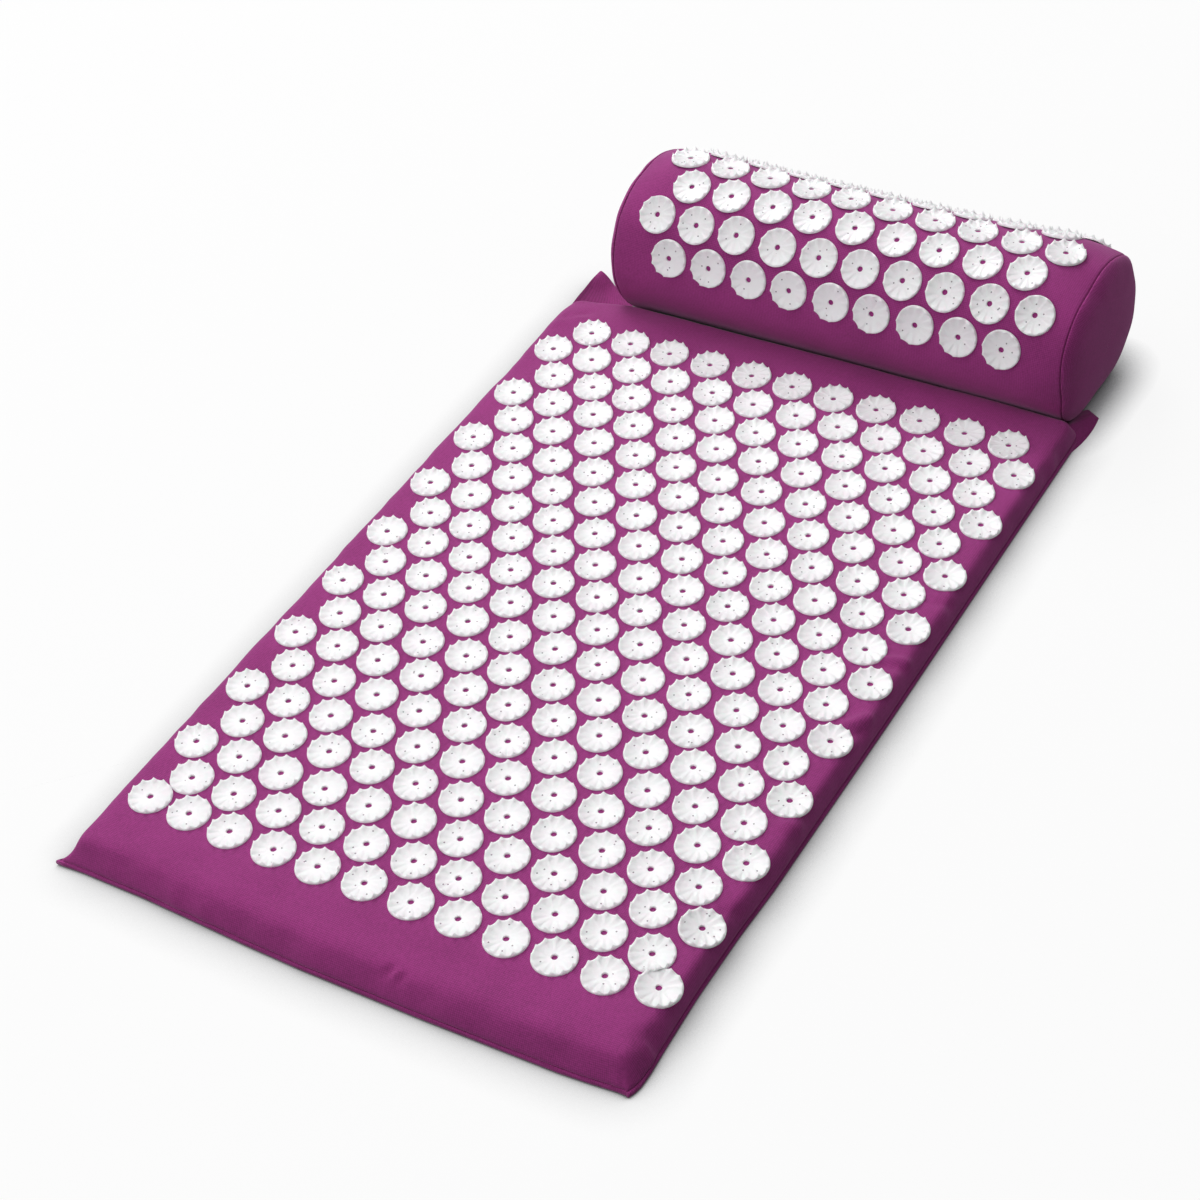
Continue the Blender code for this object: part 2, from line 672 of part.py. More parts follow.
def make_zip_pull(name, x, parent):
    """Make the pull tab. Its bar turns in the slider's bail, on the object's origin."""
    start = PULL_BAR / 2
    outline = [(start, PULL_WIDTH / 2)]
    for along, widen in PULL_OUTLINE_SHARES[1:]:
        width = PULL_WIDTH + (PULL_TIP_WIDTH - PULL_WIDTH) * widen
        outline.append((start - PULL_LENGTH * along, width / 2 if along < 1 else width / 4))
    outline += [(px, -py) for px, py in reversed(outline)]
    bm = bmesh.new()
    prism(bm, [(px, py, -PULL_THICKNESS / 2) for px, py in outline], (0, 0, PULL_THICKNESS))
    pull = place(name, bm, zip_metal, parent, (x, 0, pull_axis_height))
    eye = bmesh.new()
    eye_half = BAIL_WIDTH / 2 + 2 * CLEARANCE
    box(eye, (-start - PULL_EYE_LENGTH, -eye_half, -CUT_OVERRUN), (-start, eye_half, CUT_OVERRUN))
    combine(pull, eye, "DIFFERENCE")
    return pull


def make_zip(prefix, length, parent):
    """Make a whole zip: two halves, two stops, the slider and its pull."""
    make_zip_half(prefix + "_zip_half_foot", -1, length, parent)
    make_zip_half(prefix + "_zip_half_head", 1, length, parent)
    left, right = chain_ends(length)
    stop_offset = CLEARANCE + STOP_LENGTH / 2
    make_zip_stop(prefix + "_zip_stop_left", left - stop_offset, parent)
    make_zip_stop(prefix + "_zip_stop_right", right + stop_offset, parent)
    closed = right - SLIDER_LENGTH / 2
    make_zip_slider(prefix + "_zip_slider", closed, parent)
    make_zip_pull(prefix + "_zip_pull", closed, parent)
    travel = right - left - SLIDER_LENGTH
    print(prefix, "zip slider at", round(closed, 5), "travel", round(travel, 5))


clear_scene()
part_collection = new_collection("acupressure_mat")
cutter_collection = new_collection("cutters")
cloth = finish("woven_cotton", (0.28, 0.042, 0.18), 0.85)
foam = finish("foam", (0.86, 0.84, 0.78), 0.95)
zip_cloth = finish("zip_tape", (0.20, 0.03, 0.13), 0.8)
zip_metal = finish("zip_metal", (0.62, 0.62, 0.64), 0.35, 1.0)

mat_zip_length = MAT_WIDTH - 2 * MAT_ZIP_END_MARGIN
mat_zip_place = MAT_LENGTH / 2 - MAT_ZIP_SETBACK
pillow_zip_length = PILLOW_LENGTH - 2 * PILLOW_ZIP_END_MARGIN

# The bolster lies just clear of the mat's end wall, and its right end near the mat's right side
front = pillow_section(0.0, 0.0)[:ARC_STEPS + 1]
bends = [height for _, height in front if wall_foot < height < MAT_HEIGHT]
standoff = max(reach_at(front, height) - head_lean_at(height)
               for height in (wall_foot, *bends, MAT_HEIGHT))
yaw_swing = pillow_half * abs(math.sin(PILLOW_YAW))
pillow_y = MAT_LENGTH / 2 + standoff + yaw_swing + CLEARANCE
pillow_x = MAT_WIDTH / 2 - PILLOW_END_INSET - pillow_half
pillow_anchor = anchor("pillow_place", (pillow_x, pillow_y, 0), PILLOW_YAW)
mat_zip_anchor = anchor("mat_zip_place", (0, mat_zip_place, 0))
print("pillow at", round(pillow_x, 5), round(pillow_y, 5))

make_mat_top_cover()
make_mat_base_cover()
make_mat_foam_core()
make_zip("mat", mat_zip_length, mat_zip_anchor)
make_pillow_wrap()
make_pillow_end("pillow_end_left", True)
make_pillow_end("pillow_end_right", False)
make_pillow_base_panel()
make_pillow_foam_core()
make_zip("pillow", pillow_zip_length, pillow_anchor)
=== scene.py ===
# %% [markdown]
# # An acupressure mat and its pillow
#
# The object is a thin padded mat in plum cotton, covered with 230 white spiked discs, and a
# bolster pillow with 66 more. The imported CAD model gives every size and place. This lesson
# dresses it: each cloth solid is replaced by a softer piece that is inflated by a cloth
# simulation, the discs are laid on the cloth by Geometry Nodes, and the zips underneath get
# their teeth.

# %% Load the fixed frame
import json
import math
from contextlib import contextmanager

import bmesh
import bpy
import numpy as np
from mathutils import Matrix, Vector, noise
from mathutils.bvhtree import BVHTree


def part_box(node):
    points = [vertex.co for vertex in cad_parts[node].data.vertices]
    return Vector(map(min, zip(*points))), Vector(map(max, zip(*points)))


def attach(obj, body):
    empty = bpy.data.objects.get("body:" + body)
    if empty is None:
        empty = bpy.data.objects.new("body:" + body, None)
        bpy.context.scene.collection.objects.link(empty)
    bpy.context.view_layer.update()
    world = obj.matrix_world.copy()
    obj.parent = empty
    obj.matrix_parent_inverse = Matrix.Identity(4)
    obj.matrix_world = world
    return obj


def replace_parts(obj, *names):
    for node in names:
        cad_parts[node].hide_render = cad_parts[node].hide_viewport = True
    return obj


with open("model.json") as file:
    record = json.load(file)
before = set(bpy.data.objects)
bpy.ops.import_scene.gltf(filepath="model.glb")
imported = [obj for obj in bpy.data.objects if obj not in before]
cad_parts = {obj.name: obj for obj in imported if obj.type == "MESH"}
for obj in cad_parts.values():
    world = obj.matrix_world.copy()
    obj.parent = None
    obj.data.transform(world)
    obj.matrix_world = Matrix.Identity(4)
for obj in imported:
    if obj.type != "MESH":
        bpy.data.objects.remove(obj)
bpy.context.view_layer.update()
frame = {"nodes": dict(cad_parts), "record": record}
MM = 0.001

# %% [markdown]
# ## Small helpers
#
# Every cloth piece starts as rings of points joined by four-sided faces, because a cloth
# simulation behaves evenly on even squares. `ring_faces` gives those faces. A piece's object
# stays at the origin, so that its place is in its mesh.

# %% Mesh helpers
def add_object(name, mesh, material=None, smooth=True):
    """Link a mesh as a new object at the origin."""
    piece = bpy.data.objects.new(name, mesh)
    bpy.context.scene.collection.objects.link(piece)
    if material:
        mesh.materials.append(material)
    if smooth:
        mesh.shade_smooth()
    return piece


def mesh_from(name, points, faces):
    """Make a mesh from points and faces."""
    mesh = bpy.data.meshes.new(name)
    mesh.from_pydata([tuple(p) for p in points], [], faces)
    mesh.update()
    return mesh


def ring_faces(rings, count, closed=True, start=0):
    """Give the faces between rings of points that are stored one after the other."""
    faces = []
    steps = count if closed else count - 1
    for r in range(rings - 1):
        low, high = start + r * count, start + (r + 1) * count
        for i in range(steps):
            j = (i + 1) % count
            faces.append((low + i, low + j, high + j, high + i))
    return faces


@contextmanager
def editing(mesh):
    """Open a mesh for editing, and write it back afterwards."""
    bm = bmesh.new()
    bm.from_mesh(mesh)
    yield bm
    bm.to_mesh(mesh)
    bm.free()


def outwards(mesh):
    """Merge doubled points and turn every face to the outside."""
    with editing(mesh) as bm:
        bmesh.ops.remove_doubles(bm, verts=bm.verts, dist=0.01 * MM)
        bmesh.ops.recalc_face_normals(bm, faces=bm.faces)
    return mesh


def turned_to(mesh, chosen, direction):
    """Turn the faces of a sheet alike, so that the chosen one looks in a direction."""
    with editing(mesh) as bm:
        bmesh.ops.recalc_face_normals(bm, faces=bm.faces)
        bm.faces.ensure_lookup_table()
        if bm.faces[chosen].normal.dot(direction) < 0:
            bmesh.ops.reverse_faces(bm, faces=bm.faces)
    return mesh


def keep_result(piece):
    """Apply every modifier by keeping the evaluated mesh."""
    graph = bpy.context.evaluated_depsgraph_get()
    graph.update()
    mesh = bpy.data.meshes.new_from_object(piece.evaluated_get(graph))
    piece.modifiers.clear()
    piece.data = mesh
    mesh.name = piece.name
    return mesh


def smoothed(piece):
    """Subdivide a piece once and keep the result."""
    smoothing = piece.modifiers.new("smooth", "SUBSURF")
    smoothing.levels = 1
    smoothing.render_levels = 1
    keep_result(piece)
    piece.data.shade_smooth()


def count_triangles(piece):
    """Count the triangles of a piece."""
    return sum(len(p.vertices) - 2 for p in piece.data.polygons)

# %% Array helpers
def vertex_values(mesh, what):
    """Give one value of a mesh's points as an array."""
    flat = np.empty(len(mesh.vertices) * 3, dtype=np.float32)
    mesh.vertices.foreach_get(what, flat)
    return flat.reshape(-1, 3).astype(float)


def points_of(mesh):
    """Give a mesh's points as an array."""
    return vertex_values(mesh, "co")


def normals_of(mesh):
    """Give a mesh's normals at its points as an array."""
    return vertex_values(mesh, "normal")


def set_points(mesh, points):
    """Write an array of points back to a mesh."""
    mesh.vertices.foreach_set("co", np.asarray(points, dtype=np.float32).ravel())
    mesh.update()


def rise(value, start, length):
    """Go evenly from nought to one over a length."""
    return np.clip((value - start) / length, 0.0, 1.0)


def eased(share):
    """Ease both ends of a rise."""
    return share * share * (3 - 2 * share)

# %% [markdown]
# ## Camera
#
# The camera stands where the photograph was taken. Its place was worked out from the even
# lattice of the discs: only one camera sees that lattice as the photograph shows it. The far
# rows look hardly smaller than the near ones, so the lens is a long one.

# %% Camera
CAMERA_PLACE = Vector((757.65, -1091.26, 1223.84)) * MM
CAMERA_FORWARD = Vector((-0.42621666, 0.61178308, -0.66637889))
CAMERA_UP = Vector((-0.27360315, 0.61495851, 0.73957241))

camera_data = bpy.data.cameras.new("photo_camera")
camera_data.lens = 82.33
camera_data.sensor_width = 36.0
camera_data.clip_start = 0.05
camera = bpy.data.objects.new("photo_camera", camera_data)
bpy.context.scene.collection.objects.link(camera)
across = CAMERA_FORWARD.cross(CAMERA_UP).normalized()
upright = across.cross(CAMERA_FORWARD).normalized()
turn = Matrix((across, upright, -CAMERA_FORWARD.normalized())).transposed()
camera.matrix_world = Matrix.Translation(CAMERA_PLACE) @ turn.to_4x4()
bpy.context.scene.camera = camera
print("camera height", round(CAMERA_PLACE.z, 3), "m")

# %% [markdown]
# ## Finishes
#
# Each finish is a small node tree. The helpers below keep them short: `shader_tree` starts a
# material, `noise_value` adds a noise at a real scale, and `bump` turns any value into relief.
# Values that are the same everywhere are written on the shader's own sockets.

# %% Shader helpers
def shader_tree(name, roughness, metallic=0.0):
    """Start a material and give its nodes, links, shader and Object coordinates."""
    material = bpy.data.materials.new(name)
    material.use_nodes = True
    tree = material.node_tree
    shader = tree.nodes["Principled BSDF"]
    shader.inputs["Roughness"].default_value = roughness
    shader.inputs["Metallic"].default_value = metallic
    place = tree.nodes.new("ShaderNodeTexCoord")
    return material, tree, shader, place.outputs["Object"]


def scaled(tree, coords, size):
    """Stretch coordinates by a size in waves per metre, one for all axes or one for each."""
    mapping = tree.nodes.new("ShaderNodeMapping")
    mapping.inputs["Scale"].default_value = (size,) * 3 if isinstance(size, float) else size
    tree.links.new(coords, mapping.inputs["Vector"])
    return mapping.outputs["Vector"]


def noise_value(tree, coords, size, detail=3.0, roughness=0.55):
    """Add a noise with a size in waves per metre."""
    node = tree.nodes.new("ShaderNodeTexNoise")
    node.inputs["Detail"].default_value = detail
    node.inputs["Roughness"].default_value = roughness
    node.inputs["Scale"].default_value = 1.0
    tree.links.new(scaled(tree, coords, size), node.inputs["Vector"])
    return node.outputs["Fac"]


def cells_at(tree, vector):
    """Add Voronoi cells on coordinates that are scaled already."""
    node = tree.nodes.new("ShaderNodeTexVoronoi")
    node.inputs["Scale"].default_value = 1.0
    tree.links.new(vector, node.inputs["Vector"])
    return node


def attribute(tree, name, output="Vector"):
    """Read an attribute that a mesh carries."""
    node = tree.nodes.new("ShaderNodeAttribute")
    node.attribute_name = name
    return node.outputs[output]


def split(tree, vector):
    """Give a vector's X, Y and Z."""
    node = tree.nodes.new("ShaderNodeSeparateXYZ")
    tree.links.new(vector, node.inputs["Vector"])
    return [node.outputs[axis] for axis in "XYZ"]


def math_value(tree, operation, first, second=None):
    """Add a Math node on sockets or numbers."""
    node = tree.nodes.new("ShaderNodeMath")
    node.operation = operation
    for i, value in enumerate((first, second)):
        if isinstance(value, (int, float)):
            node.inputs[i].default_value = value
        elif value is not None:
            tree.links.new(value, node.inputs[i])
    return node.outputs["Value"]


def product(tree, first, *others):
    """Multiply sockets and numbers."""
    for other in others:
        first = math_value(tree, "MULTIPLY", first, other)
    return first


def total(tree, first, *others):
    """Add up sockets and numbers."""
    for other in others:
        first = math_value(tree, "ADD", first, other)
    return first


def colour_ramp(tree, value, stops):
    """Turn a value into colours, by places and colours along it."""
    node = tree.nodes.new("ShaderNodeValToRGB")
    ramp = node.color_ramp
    while len(ramp.elements) < len(stops):
        ramp.elements.new(0.5)
    for element, (place, colour) in zip(ramp.elements, stops):
        element.position = place
        element.color = (*colour, 1.0)
    tree.links.new(value, node.inputs["Fac"])
    return node.outputs["Color"]


def bump(tree, shader, height, distance, strength=1.0, below=None):
    """Add relief to a shader, on top of what another bump gives."""
    node = tree.nodes.new("ShaderNodeBump")
    node.inputs["Distance"].default_value = distance
    node.inputs["Strength"].default_value = strength
    tree.links.new(height, node.inputs["Height"])
    if below is not None:
        tree.links.new(below, node.inputs["Normal"])
    tree.links.new(node.outputs["Normal"], shader.inputs["Normal"])
    return node.outputs["Normal"]

# %% [markdown]
# ### Woven cotton
#
# The cover is a plain weave. Its threads run along and across each piece of cloth as it was cut,
# so every cloth piece carries the attribute `cloth_place`: where each point lay on the flat cloth.
# Two waves along it give the weave, in relief and in colour. The colour darkens the gaps between
# the threads as painted shade. A slow noise clouds the dye, a finer one gives the slubs of the
# threads, and sheen gives the pale bloom that cotton shows at a grazing view.

# %% Woven cotton
CLOTH_COLOUR = (0.280, 0.032, 0.176)
THREADS_PER_METRE = 770.0
CLOUD_SHARE, SLUB_SHARE, WEAVE_SHADE_SHARE = 0.28, 0.45, 0.42


def mark_cloth(mesh, places):
    """Store where each point lay on the flat cloth."""
    flat = np.zeros((len(mesh.vertices), 3), dtype=np.float32)
    flat[:, :2] = np.asarray(places)[:, :2]
    attribute_data = mesh.attributes.new("cloth_place", "FLOAT_VECTOR", "POINT").data
    attribute_data.foreach_set("vector", flat.ravel())


def weave_value(tree, threads):
    """Give the over and under of a plain weave."""
    waves = []
    for axis in split(tree, attribute(tree, "cloth_place"))[:2]:
        wave = math_value(tree, "SINE", product(tree, axis, math.pi * threads))
        waves.append(math_value(tree, "ABSOLUTE", wave))
    return product(tree, total(tree, *waves), 0.5)


def woven_cloth(name, colour, threads=THREADS_PER_METRE, sheen=0.38):
    """Make a woven cloth of one dye."""
    material, tree, shader, coords = shader_tree(name, 0.85)
    dark = tuple(c * 0.70 for c in colour)
    light = tuple(min(1.0, c * 1.30) for c in colour)
    clouds = noise_value(tree, coords, 22.0, 3.0)
    slubs = noise_value(tree, coords, (760.0, 620.0, 680.0), 2.0)
    weave = weave_value(tree, threads)
    # The weave's share of the tone darkens the gaps between the threads: painted shade.
    tone = total(tree, product(tree, clouds, CLOUD_SHARE), product(tree, slubs, SLUB_SHARE),
                 product(tree, weave, WEAVE_SHADE_SHARE))
    tree.links.new(colour_ramp(tree, tone, ((0.36, dark), (0.59, colour), (0.78, light))),
                   shader.inputs["Base Color"])
    shader.inputs["Sheen Weight"].default_value = sheen
    shader.inputs["Sheen Roughness"].default_value = 0.45
    shader.inputs["Sheen Tint"].default_value = (1.0, 0.58, 0.90, 1.0)
    shader.inputs["Specular IOR Level"].default_value = 0.2
    threads_normal = bump(tree, shader, weave, 0.20 * MM, 0.35)
    bump(tree, shader, slubs, 0.10 * MM, 0.3, threads_normal)
    return material


plum_cotton = woven_cloth("plum_cotton", CLOTH_COLOUR)
print("weave pitch", round(1000 / THREADS_PER_METRE, 2), "mm")

# %% [markdown]
# ### Moulded plastic, foam, tape and metal
#
# The discs are white plastic with a faint cool tint, moulded in a tool whose marks stay as a
# soft ripple. Light goes a little way into it, which softens the pointed rims. The foam has open
# cells, and their hollows are darkened with painted shade. The zip's tape is a finer weave in a
# darker dye, its teeth are plastic in the same dye, and its slider is cast metal with tumbling
# scratches.

# %% Moulded plastic
def moulded_plastic(name, colour, roughness=0.38):
    """Make a plain moulded plastic with a soft ripple."""
    material, tree, shader, coords = shader_tree(name, roughness)
    clouds = noise_value(tree, coords, 60.0, 2.0)
    deeper = tuple(c * 0.97 for c in colour)
    tree.links.new(colour_ramp(tree, clouds, ((0.35, deeper), (0.65, colour))),
                   shader.inputs["Base Color"])
    ripple = noise_value(tree, coords, 420.0, 2.0)
    bump(tree, shader, ripple, 0.25 * MM, 0.4)
    rough = tree.nodes.new("ShaderNodeMapRange")
    rough.inputs["To Min"].default_value = roughness - 0.06
    rough.inputs["To Max"].default_value = roughness + 0.10
    tree.links.new(ripple, rough.inputs["Value"])
    tree.links.new(rough.outputs["Result"], shader.inputs["Roughness"])
    return material

# %% [markdown]
# ### The discs' flutes and painted pit shade
#
# Each disc carries the attribute `disc_place`, where a point lies on its disc, and
# `disc_number`, which no other disc shares. The flutes turn with the angle round the disc: they
# start outside the hole and end before the rim. The pits are dark specks of painted shade. They
# sit at the middles of Voronoi cells, shifted by the disc's number, and half of them are left out.

# %% The discs' plastic
FLUTES_ROUND = 24.0
FLUTE_RISE, FLUTE_OFFSET = 130.0, 0.7
FLUTE_END, FLUTE_FALL = 13.6 * MM, 400.0
PIT_SHADE_CELLS = 135.0
PIT_SHADE_SIZE, PIT_SHADE_SHARE = 0.075, 0.5
PIT_SHADE_RING = (4.5 * MM, 11.0 * MM)
# The dark grey of the specks is painted shade, where small pits would be shaded.
PIT_SHADE_COLOUR = (0.30, 0.24, 0.29, 1.0)


def flute_value(tree, x, y, reach):
    """Give the flutes' height, nought inside and outside their ring."""
    turn = math_value(tree, "ARCTAN2", y, x)
    flutes = math_value(tree, "SINE", product(tree, turn, FLUTES_ROUND))
    grown = math_value(tree, "SUBTRACT", product(tree, reach, FLUTE_RISE), FLUTE_OFFSET)
    fade = product(tree, math_value(tree, "SUBTRACT", FLUTE_END, reach), FLUTE_FALL)
    lesser = math_value(tree, "MINIMUM", grown, fade)
    return product(tree, flutes, math_value(tree, "MAXIMUM", lesser, 0.0))


def pit_shade_value(tree, place, reach):
    """Give one inside the specks of painted pit shade on a disc."""
    shifted = tree.nodes.new("ShaderNodeVectorMath")
    tree.links.new(scaled(tree, place, (PIT_SHADE_CELLS, PIT_SHADE_CELLS, 0.0)), shifted.inputs[0])
    tree.links.new(attribute(tree, "disc_number", "Fac"), shifted.inputs[1])
    cells = cells_at(tree, shifted.outputs[0])
    cells.voronoi_dimensions = "2D"
    chosen = tree.nodes.new("ShaderNodeSeparateColor")
    tree.links.new(cells.outputs["Color"], chosen.inputs[0])
    return product(tree, math_value(tree, "LESS_THAN", cells.outputs["Distance"], PIT_SHADE_SIZE),
                   math_value(tree, "LESS_THAN", chosen.outputs[0], PIT_SHADE_SHARE),
                   math_value(tree, "GREATER_THAN", reach, PIT_SHADE_RING[0]),
                   math_value(tree, "LESS_THAN", reach, PIT_SHADE_RING[1]))


def disc_finish():
    """Make the discs' plastic, with soft flutes and a few specks of painted pit shade that follow
    each disc.
    """
    material = moulded_plastic("disc_plastic", (0.96, 0.925, 0.97), 0.42)
    tree = material.node_tree
    shader = tree.nodes["Principled BSDF"]
    shader.inputs["Subsurface Weight"].default_value = 0.75
    shader.inputs["Subsurface Scale"].default_value = 2.0 * MM
    shader.inputs["Subsurface Radius"].default_value = (1.0, 0.85, 0.92)
    shader.inputs["Specular IOR Level"].default_value = 0.6
    place = attribute(tree, "disc_place")
    x, y, _ = split(tree, place)
    reach = math_value(tree, "SQRT", total(tree, product(tree, x, x), product(tree, y, y)))
    object_place = next(n for n in tree.nodes if n.type == "TEX_COORD").outputs["Object"]
    pebbles = noise_value(tree, object_place, 330.0, 1.0)
    relief = total(tree, flute_value(tree, x, y, reach), product(tree, pebbles, 4.0))
    bump(tree, shader, relief, 0.13 * MM, 0.4)
    # Mix in the specks of painted pit shade.
    mix = tree.nodes.new("ShaderNodeMix")
    mix.data_type = "RGBA"
    plain = shader.inputs["Base Color"].links[0].from_socket
    tree.links.new(pit_shade_value(tree, place, reach), mix.inputs["Factor"])
    tree.links.new(plain, mix.inputs[6])
    mix.inputs[7].default_value = PIT_SHADE_COLOUR
    tree.links.new(mix.outputs[2], shader.inputs["Base Color"])
    return material


disc_plastic = disc_finish()
tooth_plastic = moulded_plastic("tooth_plastic", (0.16, 0.025, 0.10), 0.45)

# %% Foam, tape and metal
def open_foam(name, colour):
    """Make a foam whose cells show as small pits, darkened in their hollows with painted shade."""
    material, tree, shader, coords = shader_tree(name, 0.95)
    cell_depth_and_shade = cells_at(tree, scaled(tree, coords, 900.0)).outputs["Distance"]
    dark = tuple(c * 0.7 for c in colour)
    # The cell middles get a darker colour: painted shade in the foam's hollows.
    tree.links.new(colour_ramp(tree, cell_depth_and_shade, ((0.1, dark), (0.5, colour))),
                   shader.inputs["Base Color"])
    bump(tree, shader, cell_depth_and_shade, 0.4 * MM, 0.6)
    return material


def cast_metal(name, colour):
    """Make a tumbled cast metal with fine scratches."""
    material, tree, shader, coords = shader_tree(name, 0.32, 1.0)
    scratches = noise_value(tree, coords, (9000.0, 600.0, 600.0), 2.0)
    stains = noise_value(tree, coords, 500.0, 3.0)
    dull = tuple(c * 0.72 for c in colour)
    tree.links.new(colour_ramp(tree, stains, ((0.3, dull), (0.6, colour))),
                   shader.inputs["Base Color"])
    bump(tree, shader, scratches, 0.02 * MM, 0.5)
    return material


seat_foam = open_foam("seat_foam", (0.86, 0.84, 0.78))
zip_tape = woven_cloth("zip_tape", (0.19, 0.026, 0.12), 1900.0, 0.2)
zip_metal = cast_metal("zip_metal", (0.62, 0.62, 0.64))
print("finishes", sorted(m.name for m in bpy.data.materials))

# %% [markdown]
# ## Inflating cloth
#
# A filled cover is cloth under pressure from inside. Blender's Cloth gives that form: the
# points that the real cover holds still, at its seams and under its discs, are pinned, and
# pressure swells the rest for twenty frames. Each point's travel is then capped, so that the
# piece keeps the size that the CAD model gives it.

# %% Cloth simulation
PRESSURE = 2.5


def inflate(piece, pins, cap, frames=20):
    """Swell a piece as cloth under pressure, hold its pinned points and keep the result."""
    before = points_of(piece.data)
    group = piece.vertex_groups.new(name="held")
    group.add([int(i) for i in np.nonzero(pins)[0]], 1.0, "REPLACE")
    modifier = piece.modifiers.new("inflate", "CLOTH")
    settings = modifier.settings
    settings.quality = 6
    settings.mass = 0.2
    settings.tension_stiffness = 25
    settings.compression_stiffness = 25
    settings.shear_stiffness = 8
    settings.bending_stiffness = 0.4
    settings.use_pressure = True
    settings.uniform_pressure_force = PRESSURE
    settings.vertex_group_mass = "held"
    settings.pin_stiffness = 1.0
    settings.effector_weights.gravity = 0.0
    modifier.collision_settings.use_collision = False
    modifier.point_cache.frame_start = 1
    modifier.point_cache.frame_end = frames
    for step in range(1, frames + 1):
        bpy.context.scene.frame_set(step)
    keep_result(piece)
    bpy.context.scene.frame_set(1)
    travel = points_of(piece.data) - before
    length = np.linalg.norm(travel, axis=1, keepdims=True)
    shown = np.tanh(length / cap) * cap / np.maximum(length, 1e-9)
    set_points(piece.data, before + travel * shown)
    piece.vertex_groups.clear()
    print(piece.name, "swelled by up to", round(float(length.max()) / MM, 2), "mm, kept",
          round(float((length * shown).max()) / MM, 2))

# %% [markdown]
# ## The mat's cover
#
# The cover's top is flat, rolls over a crest and comes down walls that lean outwards, most at
# the two ends. It is laid out as a grid of 5 mm squares with rings round it, each ring further
# out and lower. The sides and the ends have their own profiles. The last ring turns in under
# the wall, so that the seam lies in a narrow shadow.

# %% Mat sizes, read from the frame
mat_low, mat_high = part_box("mat_top_cover")
SPIKE_TOP = 3.0 * MM
MAT_TOP = mat_high.z - SPIKE_TOP
SEAM_Z = mat_low.z
HALF_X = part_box("mat_foam_core")[1].x + 1.5 * MM
HEAD_Y, FOOT_Y = mat_high.y, -mat_low.y
print("mat", round(2 * HALF_X / MM, 1), "x", round((HEAD_Y + FOOT_Y) / MM, 1), "top",
      round(MAT_TOP / MM, 1))

PROFILE_Z = np.array((21.0, 20.95, 20.6, 19.4, 16.8, 12.8, 8.6, 5.4, 4.0)) * MM
SIDE_OUT = np.array((0.0, 2.8, 5.2, 7.2, 8.6, 9.7, 10.6, 11.2, 10.1)) * MM
FOOT_OUT = np.array((0.0, 3.6, 6.8, 9.4, 11.6, 14.0, 16.6, 18.6, 17.4)) * MM
HEAD_OUT = np.array((0.0, 3.0, 5.2, 6.9, 8.6, 11.0, 13.8, 16.4, 15.2)) * MM
HEAD_INSET = 19.9 * MM
INNER_X = HALF_X - SIDE_OUT.max()
INNER_HEAD, INNER_FOOT = HEAD_Y - HEAD_INSET, FOOT_Y - FOOT_OUT.max()
SQUARE = 5.0 * MM
CORNER_TURNS = 6

# %% [markdown]
# A sewn cover never lies quite straight. A short table for each edge says how far the real one
# lies from the even rectangle, and another how far the head end's top sags. Each pair is a place
# along the edge and a distance. The foot corners run out to points where the seams meet, and the
# cloth above the right one is slack and falls inwards.

# %% How the cover lies
RIGHT_EDGE = np.array(((-320, -1.7), (-300, -2.4), (-285, -3.2), (-240, -4.6), (-190, -4.2),
                       (-150, -2.4), (0, -1.4), (300, -1.8), (320, -1.8))).T * MM
LEFT_EDGE = np.array(((-320, -2.0), (-250, -2.6), (-100, -1.8), (0, -2.6), (150, -1.8),
                      (250, -2.4), (320, -2.0))).T * MM
FOOT_EDGE = np.array(((-204, 3.0), (-145, 2.3), (-109, 0.6), (-63, -1.7), (-25, -2.9),
                      (60, -3.3), (153, -2.1), (172, -0.9), (195, 1.1), (202, 1.6))).T * MM
HEAD_EDGE = np.array(((-202, -4.0), (-192, -3.0), (-180, 0.0), (-169, 3.0), (-157, 6.0),
                      (-100, 5.0), (-50, 4.0), (0, 3.0), (50, 2.2), (100, 1.4), (150, 0.9),
                      (202, 0.3))).T * MM
HEAD_SAG = np.array(((-202, 3.0), (-180, 4.2), (-157, 4.5), (-100, 3.4), (-50, 2.4), (0, 1.4),
                     (60, 0.5), (110, 0.0), (202, 0.0))).T * MM
FOOT_TIPS = {-1: np.array((-10.8, -4.0)) * MM, 1: np.array((-2.4, -4.4)) * MM}
FOOT_SQUARENESS, HEAD_SQUARENESS = 0.52, 0.38
WALL_RISE = (4 * MM, 17 * MM)
FOOT_BEND = (240 * MM, 70 * MM)
HEAD_BEND = (HEAD_Y - 42 * MM, 30 * MM)
SLACK_TO_FOOT, SLACK_TO_RIGHT = (262 * MM, 30 * MM), (165 * MM, 28 * MM)
SLACK = 5.5 * MM


def settled(points):
    """Shift places on the even cover to where the real one lies."""
    x, y, z = points.T
    over = np.clip(x / HALF_X, -1.0, 1.0)
    edge = np.where(over > 0, np.interp(y, *RIGHT_EDGE), np.interp(y, *LEFT_EDGE))
    high = rise(z, *WALL_RISE)
    slack = rise(-y, *SLACK_TO_FOOT) * (rise(x, *SLACK_TO_RIGHT) * high)
    near_foot = rise(-y, *FOOT_BEND) ** 2
    near_head = eased(rise(y, *HEAD_BEND))
    moved = points.copy()
    moved[:, 0] += edge * np.abs(over) ** 3 - SLACK * slack
    moved[:, 1] += np.interp(x, *FOOT_EDGE) * near_foot + np.interp(x, *HEAD_EDGE) * near_head
    moved[:, 2] -= np.interp(x, *HEAD_SAG) * near_head * high
    return moved


